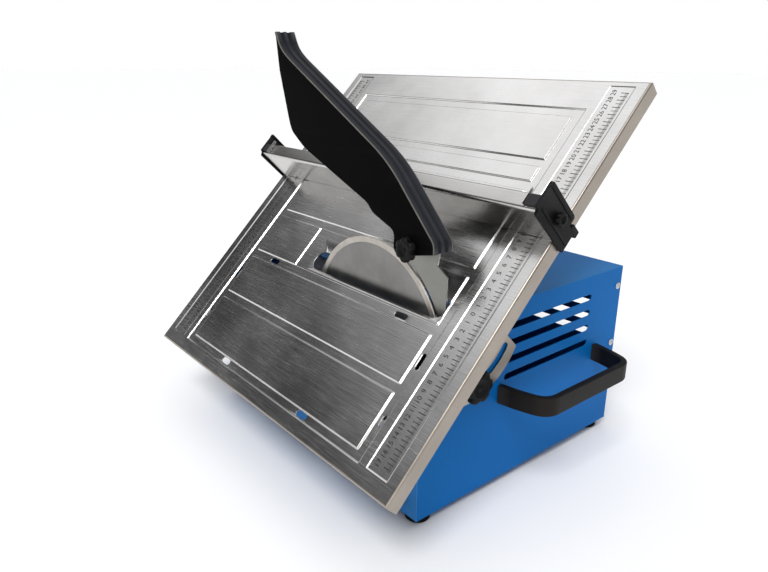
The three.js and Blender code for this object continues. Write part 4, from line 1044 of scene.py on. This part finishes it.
def bracket(end, side):
    name = f"{end}_tilt_bracket"
    lo, hi = local_box(name, ON_TABLE)
    radius = -lo.z
    stud = ON_TABLE.inverted() @ middle(f"{end}_tilt_stud")
    start = math.degrees(math.atan2(stud.z, stud.x))
    slot = arc_slot(math.hypot(stud.x, stud.z), start, start + math.degrees(TILT))
    left = -180 + math.degrees(math.acos(-lo.x / radius))
    right = -math.degrees(math.acos(hi.x / radius))
    outline = arc(0, 0, radius, left, right, 28) + [(hi.x, hi.z), (lo.x, hi.z)]
    web = plate(filleted(outline, 0.004, steps=3), (slot, circle(0, 0, 0.0043)), BRACKET_SHEET, 0.0004)
    web_y = (hi.y - BRACKET_SHEET / 2) if side < 0 else (lo.y + BRACKET_SHEET / 2)
    web = placed(web, at(0, web_y, 0) @ IN_XZ)
    y0, y1 = (lo.y, hi.y - BRACKET_SHEET) if side < 0 else (lo.y + BRACKET_SHEET, hi.y)
    flange = block(lo.x, hi.x, y0, y1, hi.z - BRACKET_SHEET, hi.z, 0.0005)
    head = [(0, -0.0014), (0.0028, -0.0008), (0.0032, 0), (0, 0)]
    rivets = [placed(turned(soft(head, 0.0006), 20), at(x, (y0 + y1) / 2, hi.z - BRACKET_SHEET))
              for x in (lo.x + RIVET_INSET, (lo.x + hi.x) / 2, hi.x - RIVET_INSET)]
    # The bracket's colour holds the same painted warm reflection as the table's rim.
    piece(name + "_sheet", merged(web, flange, *rivets), "rim_steel_painted_reflection", "table", (name,), ON_TABLE)


# ---- fence
FENCE_SHEET = 0.002
FENCE_FIT = 0.0024       # the clamp's plug keeps inside the sheet
PLUG = 0.014             # how far the plug reaches into the fence
RELIEF = 0.0012          # the clamp's face lies this far behind its ledge
SPRING = 0.0039


def upright(points, y0, y1, edge=0.0006):
    """A plate between two places along the cut, its outline seen along the cut."""
    low, high = sorted((y0, y1))
    return placed(plate(points, (), high - low, edge), at(0, (low + high) / 2, 0) @ IN_XZ)


def fence():
    lo, hi = local_box("fence_profile", ON_TABLE)
    inset = FENCE_SHEET / 2
    path = filleted([(lo.x + inset, lo.z), (lo.x + inset, hi.z - inset), (hi.x - inset, hi.z - inset),
                     (hi.x - inset, lo.z)], 0.003, closed=False, steps=5)
    bm = upright(ribbon(path, inset), lo.y, hi.y, 0.0003)
    piece("fence_channel", bm, "fence_steel", "fence", ("fence_profile",), ON_TABLE)
    for end, side in ENDS:
        clamp(end, side, lo, hi)
        knob(f"{end}_fence_knob", "y", side, 8, 0.0012)


def clamp(end, side, fence_lo, fence_hi):
    """A moulding with a plug in the fence, a hook under the table's edge and a spring strip on top."""
    name = f"{end}_fence_clamp"
    lo, hi = local_box(name, ON_TABLE)
    table_lo, table_hi = local_box("table_top", ON_TABLE)
    rim_y = table_lo.y if side < 0 else table_hi.y
    face = lo.y if side < 0 else hi.y
    inner = rim_y + side * 0.0003
    base = table_lo.z + 0.0007
    top, x0, x1 = hi.z, lo.x, hi.x
    roof = fence_hi.z + 0.0003
    front = face - side * RELIEF
    plane = filleted([(x0 + 0.001, base), (x1 - 0.0115, base), (x1 - 0.0105, base + 0.012),
                      (x1, base + 0.0125), (x1, top), (x0 + 0.006, top), (x0 + 0.0045, top - 0.004),
                      (x0, top - 0.0055)], 0.0012, steps=3)
    ledge = filleted(rectangle(x1 - 0.0055, x1, base + 0.016, top), 0.001, steps=2)
    rib = filleted(rectangle(x0 + 0.008, x0 + 0.0105, base + 0.002, top - 0.008), 0.0008, steps=2)
    hook0, hook1 = fence_lo.x + 0.020, fence_lo.x + 0.028
    hook = filleted(rectangle(hook0, hook1, lo.z, base + 0.008), 0.001, steps=2)
    tab = rectangle(fence_lo.x + 0.004, fence_lo.x + 0.016, roof, roof + 0.003)
    parts = [upright(plane, front, inner), upright(ledge, face, inner),
             upright(rib, face - side * 0.0002, inner, 0.0004), upright(hook, front, inner),
             block(hook0, hook1, *sorted((inner, rim_y - side * 0.0057)), lo.z, lo.z + 0.0048),
             block(fence_lo.x + FENCE_FIT, fence_hi.x - FENCE_FIT, *sorted((inner, rim_y - side * PLUG)),
                   fence_lo.z + 0.0006, fence_hi.z - FENCE_FIT),
             upright(tab, face - side * 0.002, rim_y - side * PLUG)]
    piece(name + "_moulding", merged(*parts), "black_plastic", "fence", (name,), ON_TABLE)
    spring_y = sorted((rim_y - side * (PLUG + 0.0002), rim_y - side * (PLUG + 0.0012)))
    spring = block(fence_lo.x + 0.0035, fence_hi.x + 0.003, *spring_y, roof, roof + SPRING, 0.0002)
    piece(f"{end}_clamp_spring", spring, "stainless", "fence", (), ON_TABLE)


# ---- switch box
BOX_BACK = 0.014         # the box's body stops this far short of its face
BEZEL = 0.0022
BEZEL_INSET = 0.004
BUTTON_HOLE = 0.0113


def controls():
    lo, hi = box_of("switch_housing")
    centre = (lo + hi) / 2
    wide, tall, deep = (hi.x - lo.x) / 2, (hi.z - lo.z) / 2, hi.y - lo.y - BOX_BACK
    outline = filleted(rectangle(-wide, wide, -tall, tall), 0.006, steps=6)
    wide, tall = wide - BEZEL_INSET, tall - BEZEL_INSET
    lip = filleted(rectangle(-wide, wide, -tall, tall), 0.004, steps=6)
    buttons = [middle(name) - centre for name in ("start_button", "stop_button")]
    holes = [circle(button.x, button.z, BUTTON_HOLE, 40) for button in buttons]
    layers = [placed(plate(shape, cuts, thick, edge), at(centre.x, y, centre.z) @ IN_XZ)
              for shape, cuts, thick, edge, y in ((outline, (), deep, 0.0015, lo.y + deep / 2),
                                                  (outline, holes, 0.0115, 0.0012, hi.y - 0.008),
                                                  (lip, holes, BEZEL, 0.0008, hi.y - BEZEL / 2))]
    piece("switch_box", merged(*layers), "black_plastic", "root", ("switch_housing",))
    for name, look in (("start_button", "green_plastic"), ("stop_button", "red_plastic")):
        lo, hi = box_of(name)
        radius, long = (hi.x - lo.x) / 2, hi.y - lo.y
        if name == "start_button":
            crown = [(radius, long - 0.002), (radius - 0.0016, long), (radius * 0.62, long),
                     (radius * 0.5, long - 0.0007), (0, long - 0.0011)]
        else:
            crown = [(radius, long - 0.0028), (radius - 0.0022, long - 0.0004), (radius * 0.5, long),
                     (0, long)]
        piece(name + "_cap", turned(soft([(0, 0), (radius, 0), *crown], 0.0006), 56), look, name + "_body",
              (name,), at(middle(name).x, lo.y, middle(name).z) @ ALONG_Y, 40)
    cable_gland()


def cable_gland():
    lo, hi = box_of("cable_gland")
    half = (hi.y - lo.y) / 2
    bore, neck, dome, foot = 0.005, 0.0088, 0.0115, 0.0066
    outer = plate(hexagon(0.0142), (circle(0, 0, 0.008, 32),), foot, 0.0008)
    outer = placed(outer, at(0, 0, half - 0.0125))
    profile = [(bore, foot - half), (neck, foot - half), (neck, half - 0.009), (dome, half - 0.009),
               (0.0108, half - 0.004), (0.0085, half), (bore, half), (bore, foot - half)]
    inner = plate(hexagon(0.013), (circle(0, 0, bore, 32),), 0.0058, 0.0007)
    gland = merged(turned(profile, 48), outer, placed(inner, at(0, 0, 0.003 - half)))
    piece("gland_body", gland, "black_plastic", "root", ("cable_gland",), centred("cable_gland", ALONG_Y))


studio()
for kept in KEPT:
    keep(*kept)
housing()
motor()
blade()
knife()
guard()
table()
tilt_hardware()
fence()
controls()
